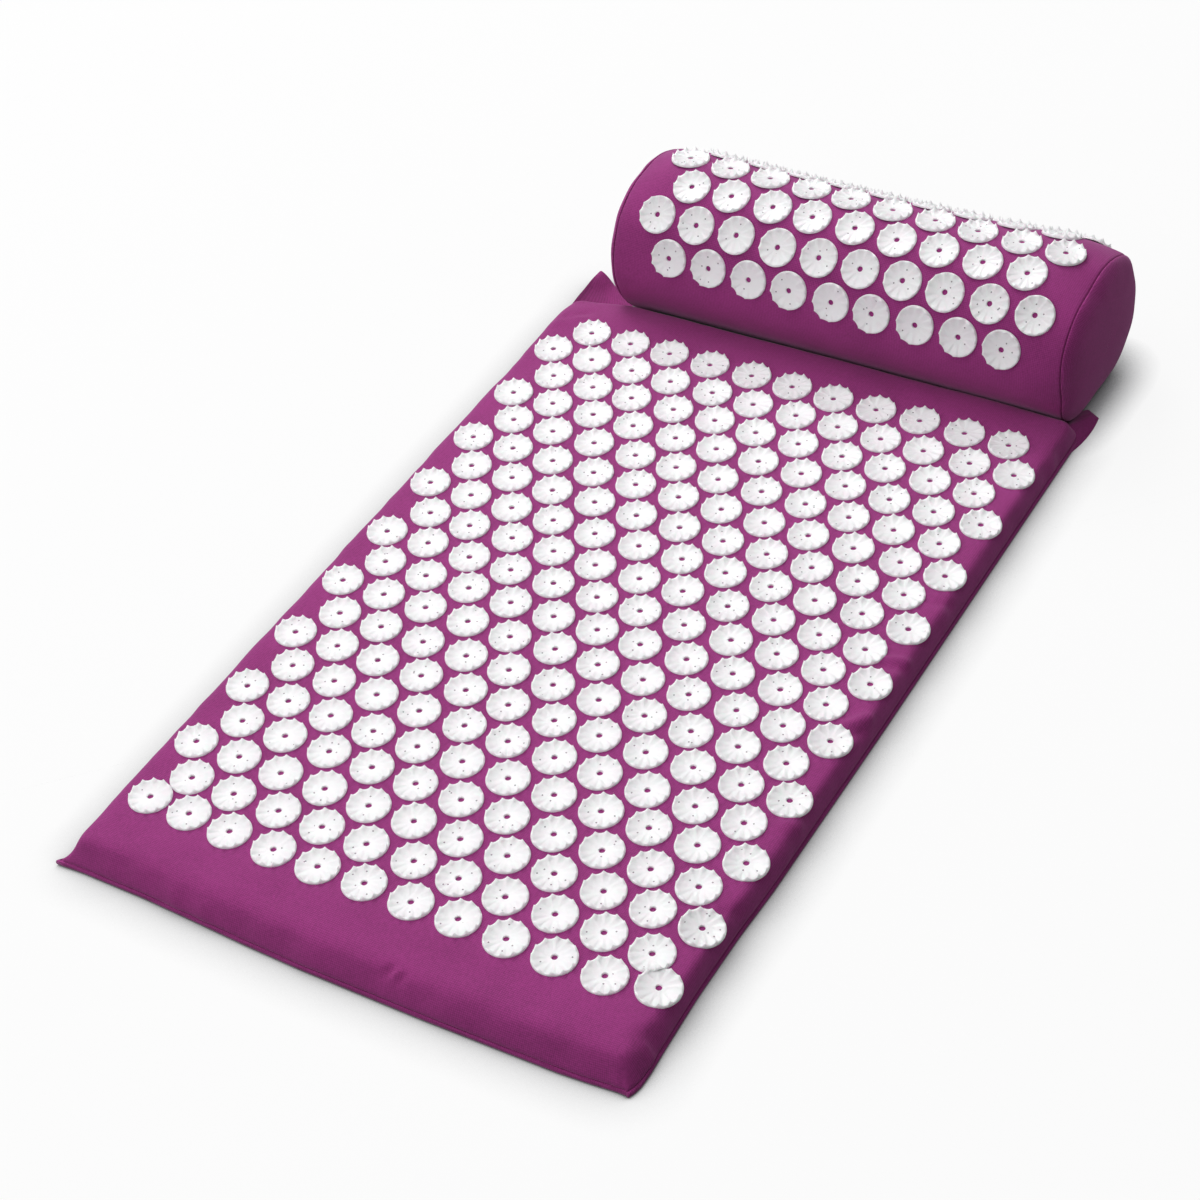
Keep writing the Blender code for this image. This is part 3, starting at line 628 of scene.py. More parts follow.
def corner_place(centre, angle, out_x, out_y, squareness, tip_share):
    """Give a corner point of a ring, squarer and drawn to its tip towards the seam."""
    at_foot = math.sin(angle) < 0
    power = 1 - (FOOT_SQUARENESS if at_foot else HEAD_SQUARENESS) * squareness
    reach_x = math.copysign(abs(math.cos(angle)) ** power, math.cos(angle)) * out_x
    reach_y = math.copysign(abs(math.sin(angle)) ** power, math.sin(angle)) * out_y
    place = np.array((centre[0] + reach_x, centre[1] + reach_y))
    if at_foot:
        from_tip = abs(abs(math.atan2(math.sin(angle), abs(math.cos(angle)))) - math.pi / 4)
        share = max(0.0, 1 - from_tip / (math.pi / 4)) ** 1.5 * tip_share
        place += FOOT_TIPS[-1 if math.cos(angle) < 0 else 1] * share
    return place


# %% Lay out the cover
def rim_ring(columns, rows):
    """Give the places round a grid with their outward angles. Each corner fans out."""
    rim = [(i, 0, 0) for i in range(columns)] + [(columns, j, 1) for j in range(rows)]
    rim += [(i, rows, 2) for i in range(columns, 0, -1)] + [(0, j, 3) for j in range(rows, 0, -1)]
    ring = []
    for i, j, side in rim:
        outward = -math.pi / 2 + side * math.pi / 2
        if (i in (0, columns)) and (j in (0, rows)):
            ring += [(i, j, outward - math.pi / 2 * (1 - k / CORNER_TURNS))
                     for k in range(CORNER_TURNS + 1)]
        else:
            ring.append((i, j, outward))
    return ring


def cover_layout():
    """Give the cover's points, its faces and the points' places on the flat cloth."""
    columns = round(2 * INNER_X / SQUARE)
    rows = round((INNER_HEAD + INNER_FOOT) / SQUARE)
    wide = columns + 1
    points = [(-INNER_X + 2 * INNER_X * i / columns,
               -INNER_FOOT + (INNER_HEAD + INNER_FOOT) * j / rows, MAT_TOP)
              for j in range(rows + 1) for i in range(wide)]
    faces = ring_faces(rows + 1, wide, False)
    flat = [point[:2] for point in points]
    ring = rim_ring(columns, rows)
    previous = [j * wide + i for i, j, _ in ring]
    last = len(PROFILE_Z) - 1
    for k in range(1, last + 1):
        current = []
        for i, j, angle in ring:
            x, y, _ = points[j * wide + i]
            end_out = FOOT_OUT if math.sin(angle) < 0 else HEAD_OUT
            place = corner_place((x, y), angle, SIDE_OUT[k], end_out[k], k / last, (k / last) ** 3)
            current.append(len(points))
            points.append((*place, PROFILE_Z[k] - PROFILE_Z[0] + MAT_TOP))
            length = np.hypot(np.diff(end_out[:k + 1]), np.diff(PROFILE_Z[:k + 1])).sum()
            flat.append((x + math.cos(angle) * length, y + math.sin(angle) * length))
        for n in range(len(ring)):
            m = (n + 1) % len(ring)
            face = tuple(dict.fromkeys((previous[n], current[n], current[m], previous[m])))
            if len(face) > 2:
                faces.append(face)
        previous = current
    return settled(np.array(points)), faces, flat


cover_points, cover_faces, cover_flat = cover_layout()
print("cover points", len(cover_points), "faces", len(cover_faces))

# %% [markdown]
# ## Where the discs lie
#
# The discs stand in staggered rows, twelve and eleven in turn. On the real mat each is pushed
# on by hand or machine and none is quite in line, so every disc gets a small seeded shift, and
# the four at the foot end that plainly slipped in the photograph get theirs, in millimetres.

# %% Disc places on the mat
DISC_PITCH = 33.2 * MM
ROW_PITCH = 27.82 * MM
FIELD_SHIFT = 2.0 * MM
MAT_ROWS, MAT_COUNTS = 20, (12, 11)
SLIPPED = {(0, 11): (-1.0, 6.0), (0, 0): (2.5, 3.5), (0, 1): (0.5, 2.0), (1, 10): (0.0, -1.5)}
chance = np.random.default_rng(41)


def staggered(rows, counts, spread):
    """Give each disc's row and number, its steps from the middle and its shift in millimetres."""
    for row in range(rows):
        count = counts[row % 2]
        for i in range(count):
            yield (row, i), i - (count - 1) / 2, row - (rows - 1) / 2, chance.normal(0.0, spread, 2)


def mat_disc_places():
    """Give the centre of every disc on the mat."""
    places = []
    for number, steps, row_steps, shift in staggered(MAT_ROWS, MAT_COUNTS, 0.35):
        shift = np.array(SLIPPED.get(number, shift)) * MM
        places.append((steps * DISC_PITCH + FIELD_SHIFT + shift[0],
                       row_steps * ROW_PITCH + shift[1]))
    return np.array(places)


mat_places = mat_disc_places()
print("discs on the mat", len(mat_places))

# %% [markdown]
# ## Swelling the mat
#
# The cloth under each disc is held flat by it, and the bottom edge is held by the side seam.
# What is left free is the crest, the walls and the plain bands at both ends, which swell a
# little. Slow ripples and a few creases at the corners follow, as sewn cloth has them.

# %% Make the mat's cover
MAT_SWELL = 0.7 * MM
DISC_HOLD = 12.5 * MM


def nearest_disc(points):
    """Give each point's distance from the nearest disc's centre, seen from above."""
    return np.min(np.linalg.norm(points[:, None, :2] - mat_places[None], axis=2), axis=1)


mat_cover = add_object("mat_cover", mesh_from("mat_cover", cover_points, cover_faces), plum_cotton)
mark_cloth(mat_cover.data, cover_flat)
outwards(mat_cover.data)
cover_points = points_of(mat_cover.data)
on_top = cover_points[:, 2] > MAT_TOP - 0.5 * MM
held = (nearest_disc(cover_points) < DISC_HOLD) & on_top
held |= cover_points[:, 2] < SEAM_Z + 0.6 * MM
held |= cover_points[:, 1] > HEAD_Y - DISC_HOLD
inflate(mat_cover, held, MAT_SWELL)

# %% Ripple the mat's cover
SLOW_RIPPLE = (55 * MM, 1.2 * MM)
FINE_RIPPLE = (24 * MM, 0.7 * MM)
WALL_RIPPLE = (14 * MM, 1.7 * MM)
HELD_SHARE = 0.12


def soft_ripple(points, size, height, seed):
    """Give a smooth ripple for each point."""
    offset = Vector((seed * 3.1, seed * 1.7, seed * 0.9))
    return np.array([noise.noise(Vector(p) / size + offset) for p in points]) * height


def ripple_mat(piece):
    """Add slow ripples, most on the plain bands and the walls, and finer ones on the walls."""
    points = points_of(piece.data)
    free = np.maximum(rise(nearest_disc(points), 13 * MM, 12 * MM), HELD_SHARE)
    low = rise(points[:, 2], SEAM_Z, 6 * MM)
    keep = free * low * rise(HEAD_Y - points[:, 1], 6 * MM, 14 * MM)
    amount = soft_ripple(points, *SLOW_RIPPLE, 1) + soft_ripple(points, *FINE_RIPPLE, 2)
    drawn_up = points * np.array((1.0, 1.0, 0.25))
    wall = rise(MAT_TOP - points[:, 2], 1.5 * MM, 4 * MM)
    amount += soft_ripple(drawn_up, *WALL_RIPPLE, 3) * wall
    set_points(piece.data, points + normals_of(piece.data) * (amount * keep)[:, None])


ripple_mat(mat_cover)
smoothed(mat_cover)

# %% [markdown]
# A few single creases give the cover its character: pinched cloth at the foot end's crest, two
# tension folds on the right side and the folded corner. Each is a soft ridge or a groove along a
# short line, given in millimetres by its two ends, its width and its height.

# %% Creases on the mat
MAT_CREASES = (
    ((33.0, -316.0, 17.5), (36.5, -310.0, 21.0), 3.0, -2.4),
    ((42.0, -317.0, 17.0), (45.0, -311.5, 21.0), 2.6, -2.0),
    ((37.0, -317.5, 16.5), (41.0, -311.0, 21.0), 2.4, 1.4),
    ((-156.0, -306.0, 14.5), (-151.5, -297.5, 19.5), 2.2, 1.5),
    ((180.0, 37.5, 21.0), (203.0, 45.0, 19.5), 3.0, 1.8),
    ((181.0, 32.0, 21.0), (201.0, 38.0, 19.5), 3.6, -1.4),
    ((185.0, -29.0, 21.0), (198.0, -8.0, 19.0), 3.6, 2.2),
    ((190.0, -36.0, 21.0), (199.0, -20.0, 18.0), 4.4, -2.2),
    ((189.0, 98.0, 21.0), (200.0, 106.0, 17.0), 4.2, -1.5),
    ((188.0, -118.0, 21.0), (200.0, -108.0, 16.0), 4.6, 1.6),
    ((187.0, -196.0, 21.0), (198.0, -183.0, 16.0), 4.6, -1.6),
    ((186.5, -313.0, 19.5), (189.0, -322.0, 5.0), 2.8, 1.6),
    ((192.0, -294.0, 17.0), (199.0, -296.0, 5.0), 2.6, 1.4),
    ((-197.0, 262.0, 20.0), (-180.0, 282.0, 21.0), 4.0, 1.4),
    ((-192.0, 268.0, 20.0), (-178.0, 291.0, 21.0), 4.5, -1.4),
    ((-122.0, -309.0, 14.0), (-120.0, -317.0, 6.0), 5.0, 1.5),
    ((-100.0, -311.0, 15.0), (-98.0, -319.0, 6.0), 5.0, 1.3),
)


def crease(piece, lines):
    """Raise or sink the cloth along short lines."""
    points, normals = points_of(piece.data), normals_of(piece.data)
    amount = np.zeros(len(points))
    for start, end, width, height in lines:
        start, end = np.array(start) * MM, np.array(end) * MM
        along = np.clip((points - start) @ (end - start) / np.sum((end - start) ** 2), 0.0, 1.0)
        away = np.linalg.norm(points - start - along[:, None] * (end - start), axis=1)
        fade = np.minimum(1.0, 4 * along * (1 - along) + 0.35)
        amount += height * MM * fade * np.exp(-(away / (width * MM)) ** 2)
    set_points(piece.data, points + normals * amount[:, None])


crease(mat_cover, MAT_CREASES)
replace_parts(mat_cover, "mat_top_cover")
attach(mat_cover, "mat")
print("mat cover triangles", count_triangles(mat_cover))

# %% [markdown]
# ## The lip and the underside
#
# Below the side seam the base cloth turns up as a narrow rounded lip. It is one profile swept
# round the mat's outline. The same piece closes underneath with a sheet that leaves a slot for
# the zip.

# %% Outline of the mat
def outline_at(out, height, per_side=60):
    """Give the mat's outline at a distance outside its seam."""
    centres = ((INNER_X, INNER_HEAD), (-INNER_X, INNER_HEAD), (-INNER_X, -INNER_FOOT),
               (INNER_X, -INNER_FOOT))
    out_x = SIDE_OUT.max() + out
    points = []
    for quarter, centre in enumerate(centres):
        end_out = (HEAD_OUT if quarter < 2 else FOOT_OUT).max() + out
        following = centres[(quarter + 1) % 4]
        for k in range(CORNER_TURNS + 1):
            angle = (quarter + k / CORNER_TURNS) * math.pi / 2
            place = corner_place(centre, angle, out_x, end_out, 1.0, 1.0)
            points.append((*place, height))
        reach = np.array((math.cos(angle) * out_x, math.sin(angle) * end_out))
        for k in range(1, per_side):
            share = k / per_side
            place = np.array(centre) * (1 - share) + np.array(following) * share + reach
            points.append((*place, height))
    return settled(np.array(points))


LIP_PROFILE = ((-1.9, 3.9), (-0.9, 4.0), (0.0, 3.7), (0.45, 2.9), (0.55, 1.8), (0.3, 0.7),
               (-0.5, 0.1), (-2.2, 0.0))
print("lip rings", len(LIP_PROFILE))

# %% Make the lip and the underside
slot_low, slot_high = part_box("mat_zip_half_foot")
SLOT_HALF = 7.5 * MM
SLOT_END = 5.5 * MM
SLOT_HEM = ((0.0, 0.0), (0.3, 0.5), (0.0, 1.2), (-4.5, 1.2))
ZIP_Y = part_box("mat_zip_slider")[0].y / 2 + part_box("mat_zip_slider")[1].y / 2


def slot_loop(inset, z):
    """Give the points round the zip's slot, drawn in by an amount."""
    x0, x1 = slot_low.x + SLOT_END + inset, slot_high.x - SLOT_END - inset
    y0, y1 = ZIP_Y - SLOT_HALF + inset, ZIP_Y + SLOT_HALF - inset
    corners = [Vector(corner) for corner in ((x0, y0), (x1, y0), (x1, y1), (x0, y1))]
    return [(*corners[k].lerp(corners[(k + 1) % 4], n / steps), z)
            for k, steps in enumerate((20, 3, 20, 3)) for n in range(steps)]


def join_loops(bm, loops):
    """Join loops of points by four-sided faces."""
    for low, high in zip(loops, loops[1:]):
        for i in range(len(low)):
            j = (i + 1) % len(low)
            bm.faces.new((low[i], low[j], high[j], high[i]))


def make_base():
    """Make the lip, the underside and its folded slot edge."""
    mesh = bpy.data.meshes.new("mat_base")
    with editing(mesh) as bm:
        lip = [[bm.verts.new(p) for p in outline_at(out * MM, z * MM)] for out, z in LIP_PROFILE]
        hem = [[bm.verts.new(p) for p in slot_loop(d * MM, z * MM)] for d, z in SLOT_HEM]
        join_loops(bm, lip)
        join_loops(bm, hem)
        edges = []
        for loop in (lip[-1], hem[0]):
            for a, b in zip(loop, loop[1:] + loop[:1]):
                edges.append(bm.edges.get((a, b)) or bm.edges.new((a, b)))
        bmesh.ops.triangle_fill(bm, use_beauty=True, edges=edges, normal=Vector((0, 0, -1)))
        bmesh.ops.recalc_face_normals(bm, faces=bm.faces)
    return mesh


mat_base = add_object("mat_base", make_base(), plum_cotton)
mark_cloth(mat_base.data, points_of(mat_base.data))
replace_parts(mat_base, "mat_base_cover")
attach(mat_base, "mat")
print("base triangles", count_triangles(mat_base))

# %% [markdown]
# ## The foam
#
# The core can't be seen while the cover is closed. It is the CAD core with its points drawn in by
# five millimetres, which leaves room for the softer cloth, and with the foam's own cells.

# %% Foam core of the mat
FOAM_ROOM = 5.0 * MM


def cad_copy(node, name, merge, flat):
    """Copy a CAD node's mesh, merge its loose triangles and join those that lie in a plane."""
    mesh = frame["nodes"][node].data.copy()
    mesh.name = name
    mesh.materials.clear()
    with editing(mesh) as bm:
        bmesh.ops.remove_doubles(bm, verts=bm.verts, dist=merge)
        bmesh.ops.dissolve_limit(bm, angle_limit=flat, verts=bm.verts, edges=bm.edges)
    return mesh


def drawn_in_copy(node, name, amount, material):
    """Copy a CAD node, draw its surface in and lay it as the cover lies."""
    mesh = cad_copy(node, name, 0.02 * MM, math.radians(2))
    with editing(mesh) as bm:
        bm.normal_update()
        for vertex in bm.verts:
            vertex.co -= vertex.normal * amount
    set_points(mesh, settled(points_of(mesh)))
    piece = add_object(name, mesh, material, smooth=False)
    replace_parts(piece, node)
    return piece


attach(drawn_in_copy("mat_foam_core", "mat_foam", FOAM_ROOM, seat_foam), "mat")
print("mat foam in place")

# %% [markdown]
# ## The loose corners
#
# At the head end the cover is longer than its foam, and its two empty corners lie on the floor
# as folded ears. Each ear is a fold between three lines: its outer foot, its ridge and its inner
# foot, which run from the mat's corner to the tip. A line is given in millimetres by its start,
# a point that bends it and its end, and the last number is how far the inner slope swells.

# %% Corner ears
EARS = {
    "ear_left": (((-205.0, 296.0, 0.1), (-208.5, 322.0, 0.1), (-211.0, 348.0, 0.1)),
                 ((-200.5, 294.0, 16.5), (-204.5, 322.0, 14.0), (-206.3, 347.5, 11.5)),
                 ((-158.0, 312.0, 0.1), (-168.0, 338.0, 0.1), (-191.0, 346.0, 0.1)), -6.0),
    "ear_right": (((182.0, 318.0, 0.1), (183.0, 342.0, 0.1), (193.0, 347.5, 0.1)),
                  ((192.0, 312.0, 11.0), (194.0, 326.0, 8.0), (198.5, 339.0, 4.0)),
                  ((200.0, 298.0, 0.1), (206.5, 320.0, 0.1), (203.0, 341.5, 0.1)), 0.8),
}
EAR_ALONG, EAR_ACROSS = 28, 24
EAR_FLOOR = 0.1 * MM
EAR_FOLD = 1.0 * MM
RIDGE_ROUND = 0.9 * MM


def bent_line(ends, t):
    """Give a place on a line that bends once."""
    a, b, c = (Vector(end) for end in ends)
    return (a * (1 - t) ** 2 + b * 2 * t * (1 - t) + c * t * t) * MM


def ear_place(lines, belly, t, s):
    """Give a place on an ear, t along it and s across: 0 outer foot, 1 ridge, 3 inner foot."""
    foot, top, end = (bent_line(line, t) for line in lines)
    place = foot.lerp(top, s) if s < 1 else top.lerp(end, (s - 1) / 2)
    round_off = math.exp(-((s - 1) / 0.16) ** 2) * RIDGE_ROUND
    inner = max(0.0, s - 1) / 2
    bulge = math.sin(math.pi * inner ** 0.7) * belly * (1 - 1.5 * t ** 3) * MM
    fold = noise.noise(Vector((place.x / (11 * MM), place.y / (16 * MM), 3.0))) * EAR_FOLD
    height = place.z - round_off + bulge + fold * min(1.0, s, (3 - s) * 1.5)
    return place.x, place.y, max(EAR_FLOOR, height)


def make_ear(name, lines, belly):
    """Make one ear: its fold of cloth, a flat sole and the edges between them."""
    points, flat = [], []
    for i in range(EAR_ALONG + 1):
        for j in range(EAR_ACROSS + 1):
            s = 3 * j / EAR_ACROSS
            points.append(ear_place(lines, belly, i / EAR_ALONG, s))
            flat.append((points[-1][1], s * 12 * MM))
    count = EAR_ACROSS + 1
    faces = ring_faces(EAR_ALONG + 1, count, False)
    sole = len(points)
    for i in range(EAR_ALONG + 1):
        a, b = points[i * count], points[i * count + EAR_ACROSS]
        points += [(*a[:2], EAR_FLOOR / 2), (*b[:2], EAR_FLOOR / 2)]
        flat += [(0.0, 0.0), (0.0, 0.0)]
        if i:
            at = sole + 2 * i
            faces.append((at - 2, at, at + 1, at - 1))
            for side, edge in ((0, 0), (1, EAR_ACROSS)):
                faces.append((at - 2 + side, at + side, i * count + edge, (i - 1) * count + edge))
    for i in (0, EAR_ALONG):
        faces.append((*range(i * count, i * count + count), sole + 2 * i + 1, sole + 2 * i))
    mesh = mesh_from(name, points, faces)
    mark_cloth(mesh, flat)
    ear = add_object(name, outwards(mesh), plum_cotton)
    ear.data.set_sharp_from_angle(angle=math.radians(60))
    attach(ear, "mat")
    return ear


for ear_name, (*ear_lines, ear_belly) in EARS.items():
    print(ear_name, "triangles", count_triangles(make_ear(ear_name, ear_lines, ear_belly)))

# %% [markdown]
# ## The pillow's wrap
#
# The wrap is a bolster: a circle that the floor flattens. The CAD model gives its radius, its
# axis and its small turn on the floor. Its cloth is laid out as rings along the axis, pinned
# under the discs and at both end seams, and swelled. It moves little, being round already.

# %% Pillow sizes, read from the frame
ZIP_TURN = frame["record"]["behaviour"]["joints"][3]["axis"]
PILLOW_ACROSS = Vector((-ZIP_TURN[0], -ZIP_TURN[1], 0.0)).normalized()
PILLOW_BACK = Vector((-PILLOW_ACROSS.y, PILLOW_ACROSS.x, 0.0))
panel_low, panel_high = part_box("pillow_base_panel")
PILLOW_CENTRE = Vector(((panel_low.x + panel_high.x) / 2, (panel_low.y + panel_high.y) / 2, 0.0))
AXIS_HEIGHT = 49.7 * MM
PILLOW_RADIUS = 63.0 * MM
SEAM_HALF = 178.5 * MM
PANEL_HALF = 25.3 * MM
print("pillow centre", [round(v / MM, 2) for v in PILLOW_CENTRE])


def pillow_point(along, depth, height):
    """Turn a place in the pillow's own directions into the frame's."""
    return PILLOW_CENTRE + PILLOW_ACROSS * along + PILLOW_BACK * depth + Vector((0, 0, height))

# %% [markdown]
# A hand-filled bolster isn't a true cylinder. Its front foot is pressed in by the mat on the
# right, its rear swells towards the right end, and each end seam draws the cloth in by an amount
# that changes round the outline. The seams' tables pair an angle in degrees, from the front up
# and over, with a radius in millimetres. The swell's table pairs two lengths in millimetres.

# %% Shape of the bolster
LEFT_SEAM = ((-60, 64.2), (-45, 64.4), (-30, 64.2), (-18, 64.0), (-2, 62.8), (6, 62.2),
             (20, 61.5), (31, 60.4), (41, 60.0), (54, 58.5), (67, 56.5), (82, 55.0), (104, 56.0),
             (120, 57.0), (132, 59.4), (155, 61.5), (190, 61.5), (235, 60.0))
RIGHT_SEAM = ((-62, 57.5), (-30, 59.3), (-10, 56.4), (11, 60.5), (25, 62.8), (37, 62.0),
              (54, 59.8), (75, 54.9), (100, 58.5), (118, 61.1), (139, 65.7), (160, 63.5),
              (190, 61.5), (235, 60.0))
REAR_SWELL = ((-178, -1.3), (-76, -1.8), (6, -0.9), (84, 1.4), (145, 5.0), (162, 5.6), (178, 4.2))
SWELL_ANGLE, SWELL_SPREAD = 137, 30
SEAM_REACH = 28.0 * MM
FRONT_FOOT, FRONT_FOOT_TURN, REAR_FOOT = 59.75, 2.75, 60.5
FRONT_BLEND, REAR_BLEND = math.radians(7.0), math.radians(-6.0)
END_TUCK = 5.5 * MM


def smooth_table(value, table, spread=5.0):
    """Read a table smoothly, as the mean of readings on both sides of a value."""
    places, values = zip(*table)
    around = value + spread * np.array((-1.0, -0.5, 0.0, 0.5, 1.0))
    return float(np.interp(around, places, values).mean())


def foot_radius(along, front):
    """Give the radius at which the bolster meets the floor."""
    return (FRONT_FOOT - FRONT_FOOT_TURN * along / SEAM_HALF if front else REAR_FOOT) * MM


def wrap_radius(angle, along):
    """Give the bolster's radius at an angle from its front and a place along its axis."""
    front = angle < math.pi / 2
    foot_size = foot_radius(along, front)
    foot = math.asin(AXIS_HEIGHT / foot_size)
    over = angle + foot if front else math.pi + foot - angle
    share = eased(min(1.0, max(0.0, over / ((FRONT_BLEND if front else REAR_BLEND) + foot))))
    degrees = math.degrees(angle)
    swell = smooth_table(along / MM, REAR_SWELL, 20.0) * MM
    radius = foot_size + (PILLOW_RADIUS - foot_size) * share
    radius += swell * math.exp(-((degrees - SWELL_ANGLE) / SWELL_SPREAD) ** 2)
    for sign, table in ((-1, LEFT_SEAM), (1, RIGHT_SEAM)):
        near = max(0.0, 1 - (SEAM_HALF - sign * along) / SEAM_REACH) ** 1.6
        radius += (smooth_table(degrees, table) * MM - radius) * near
    return radius


def floor_tuck(height):
    """Give how far the ends draw in towards the floor."""
    return END_TUCK * max(0.0, 1 - height / AXIS_HEIGHT) ** 2


# %% Lay out the wrap
WRAP_STEPS = 64
MIDDLE_STATIONS = 57
STRIP_STEPS = 3
STRIP_HEIGHT = 0.15 * MM
GROOVE = ((0.0, 2.3), (0.12, 1.25), (0.4, 0.6), (1.0, 0.28), (2.8, 0.08), (6.0, 0.0), (10.0, 0.0),
          (15.0, 0.0), (21.0, 0.0), (28.0, 0.0))


def section(along, inset=0.0):
    """Give the bolster's open outline as depth and height, from its front foot to its rear one."""
    start = -math.asin(AXIS_HEIGHT / foot_radius(along, True))
    end = math.pi + math.asin(AXIS_HEIGHT / foot_radius(along, False))
    outline = []
    for k in range(WRAP_STEPS + 1):
        angle = start + (end - start) * k / WRAP_STEPS
        radius = wrap_radius(angle, along) - inset
        outline.append((-radius * math.cos(angle),
                        max(0.0, AXIS_HEIGHT + radius * math.sin(angle))))
    return outline


def wrap_layout():
    """Give the wrap's points and faces: its outline, and a strip under it to the base panel."""
    stations = [(-SEAM_HALF + d * MM, pull * MM) for d, pull in GROOVE]
    middle = SEAM_HALF - GROOVE[-1][0] * MM
    stations += [(-middle + 2 * middle * k / MIDDLE_STATIONS, 0.0)
                 for k in range(1, MIDDLE_STATIONS)]
    stations += [(SEAM_HALF - d * MM, pull * MM) for d, pull in reversed(GROOVE)]
    points = []
    for along, pull in stations:
        outline = section(along, pull)
        front, rear = outline[0][0], outline[-1][0]
        strip = [(-PANEL_HALF + (front + PANEL_HALF) * k / STRIP_STEPS, STRIP_HEIGHT)
                 for k in range(STRIP_STEPS)]
        strip_back = [(rear + (PANEL_HALF - rear) * k / STRIP_STEPS, STRIP_HEIGHT)
                      for k in range(1, STRIP_STEPS + 1)]
        near = max(0.0, 1 - (SEAM_HALF - abs(along)) / SEAM_REACH)
        for depth, height in strip + outline + strip_back:
            drawn = math.copysign(floor_tuck(height) * near, along)
            points.append(pillow_point(along - drawn, depth, height))
    return points, ring_faces(len(stations), WRAP_STEPS + 1 + 2 * STRIP_STEPS, False)


def face_from_axis(mesh):
    """Turn a bolster's faces away from its axis."""
    axis = pillow_point(0.0, 0.0, AXIS_HEIGHT)
    with editing(mesh) as bm:
        for face in bm.faces:
            out = face.calc_center_median() - axis
            out -= PILLOW_ACROSS * out.dot(PILLOW_ACROSS)
            if face.normal.dot(out) < 0:
                face.normal_flip()


pillow_wrap = add_object("pillow_wrap", mesh_from("pillow_wrap", *wrap_layout()), plum_cotton)
face_from_axis(pillow_wrap.data)
print("wrap points", len(pillow_wrap.data.vertices))

# %% [markdown]
# ### Disc places on the pillow
#
# Seven rows run along the bolster, 25.6 degrees apart, the first at the front. They hold nine
# and ten discs in turn, and get small seeded shifts like those on the mat.

# %% Disc places on the pillow
ROW_HALF = 14.305 * MM
ROW_TURN = 2 * math.atan(ROW_HALF / PILLOW_RADIUS)
CENTRE_ANGLE = math.radians(96.7)
PILLOW_ROWS, PILLOW_COUNTS = 7, (9, 10)
PILLOW_SHIFT = 2.5 * MM


def pillow_disc_places():
    """Give each pillow disc's place along the axis, and its angle."""
    return [(steps * DISC_PITCH + PILLOW_SHIFT + shift[0] * MM,
             CENTRE_ANGLE + row_steps * ROW_TURN + shift[1] * MM / PILLOW_RADIUS)
            for _, steps, row_steps, shift in staggered(PILLOW_ROWS, PILLOW_COUNTS, 0.3)]


pillow_places = pillow_disc_places()
print("discs on the pillow", len(pillow_places))

# %% Swell the wrap
WRAP_SWELL = 1.3 * MM
WRAP_HOLD = 12.0 * MM
FOOT_HOLD = 0.25


def pillow_coordinates(points):
    """Give each point's place along the axis and its angle."""
    offset = points - np.array(PILLOW_CENTRE)
    along = offset @ np.array(PILLOW_ACROSS)
    depth = offset @ np.array(PILLOW_BACK)
    height = offset[:, 2] - AXIS_HEIGHT
    angle = np.arctan2(height, -depth)
    angle = np.where(angle < -math.pi / 2, angle + 2 * math.pi, angle)
    return along, angle


along, angle = pillow_coordinates(points_of(pillow_wrap.data))
mark_cloth(pillow_wrap.data, np.column_stack((along, angle * PILLOW_RADIUS)))
place_array = np.array(pillow_places)
gap = np.hypot(along[:, None] - place_array[None, :, 0],
               (angle[:, None] - place_array[None, :, 1]) * PILLOW_RADIUS).min(axis=1)
held = (gap < WRAP_HOLD) | (np.abs(along) > SEAM_HALF - 1.0 * MM)
held |= (angle < -FOOT_HOLD) | (angle > math.pi + FOOT_HOLD)
inflate(pillow_wrap, held, WRAP_SWELL)

# %% Finish the wrap
TUCK_LENGTH = 22 * MM
TUCK_DEPTH = 0.55 * MM
WRAP_RIPPLE = (40 * MM, 0.27 * MM)


def seam_tucks(piece):
    """Gather the cloth in small tucks towards both end seams."""
    points = points_of(piece.data)
    along, angle = pillow_coordinates(points)
    near = rise(np.abs(along), SEAM_HALF - TUCK_LENGTH, TUCK_LENGTH)
    tucks = np.sin(angle * 23 + np.sin(angle * 5) * 2) * 0.35 + np.sin(angle * 11 + 1) * 0.45
    ripple = soft_ripple(points, *WRAP_RIPPLE, 5)
    high = rise(points[:, 2], 3 * MM, 8 * MM)
    amount = (tucks * near * TUCK_DEPTH + ripple) * high
    out = points - (np.array(PILLOW_CENTRE) + np.outer(along, np.array(PILLOW_ACROSS)))
    out[:, 2] -= AXIS_HEIGHT
    out /= np.maximum(np.linalg.norm(out, axis=1, keepdims=True), 1e-9)
    set_points(piece.data, points + out * amount[:, None])


seam_tucks(pillow_wrap)
smoothed(pillow_wrap)
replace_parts(pillow_wrap, "pillow_wrap_cover")
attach(pillow_wrap, "pillow")
print("wrap triangles", count_triangles(pillow_wrap))

# %% [markdown]
# ## The pillow's ends
#
# Each end is a panel sewn to the wrap all round. The filling pushes it out into a low dome, and
# the seam between the two is a narrow groove where both cloths turn in. The rim's rings give how
# far in they lie and how far out, in millimetres. The dome's give their share of the outline.

# %% End panels
END_RIM = ((2.3, 0.0), (1.25, 0.12), (0.6, 0.4), (0.55, 1.0), (1.1, 2.0), (2.9, 3.7), (6.4, 5.7))
END_DOME = ((0.80, 7.3), (0.66, 8.5), (0.50, 9.3), (0.34, 9.8), (0.18, 10.0))
END_TOP = 10.0
END_MIDDLE = (0.0, 55.5 * MM)
PUCKERS = 13
FLOOR_STEPS = 20


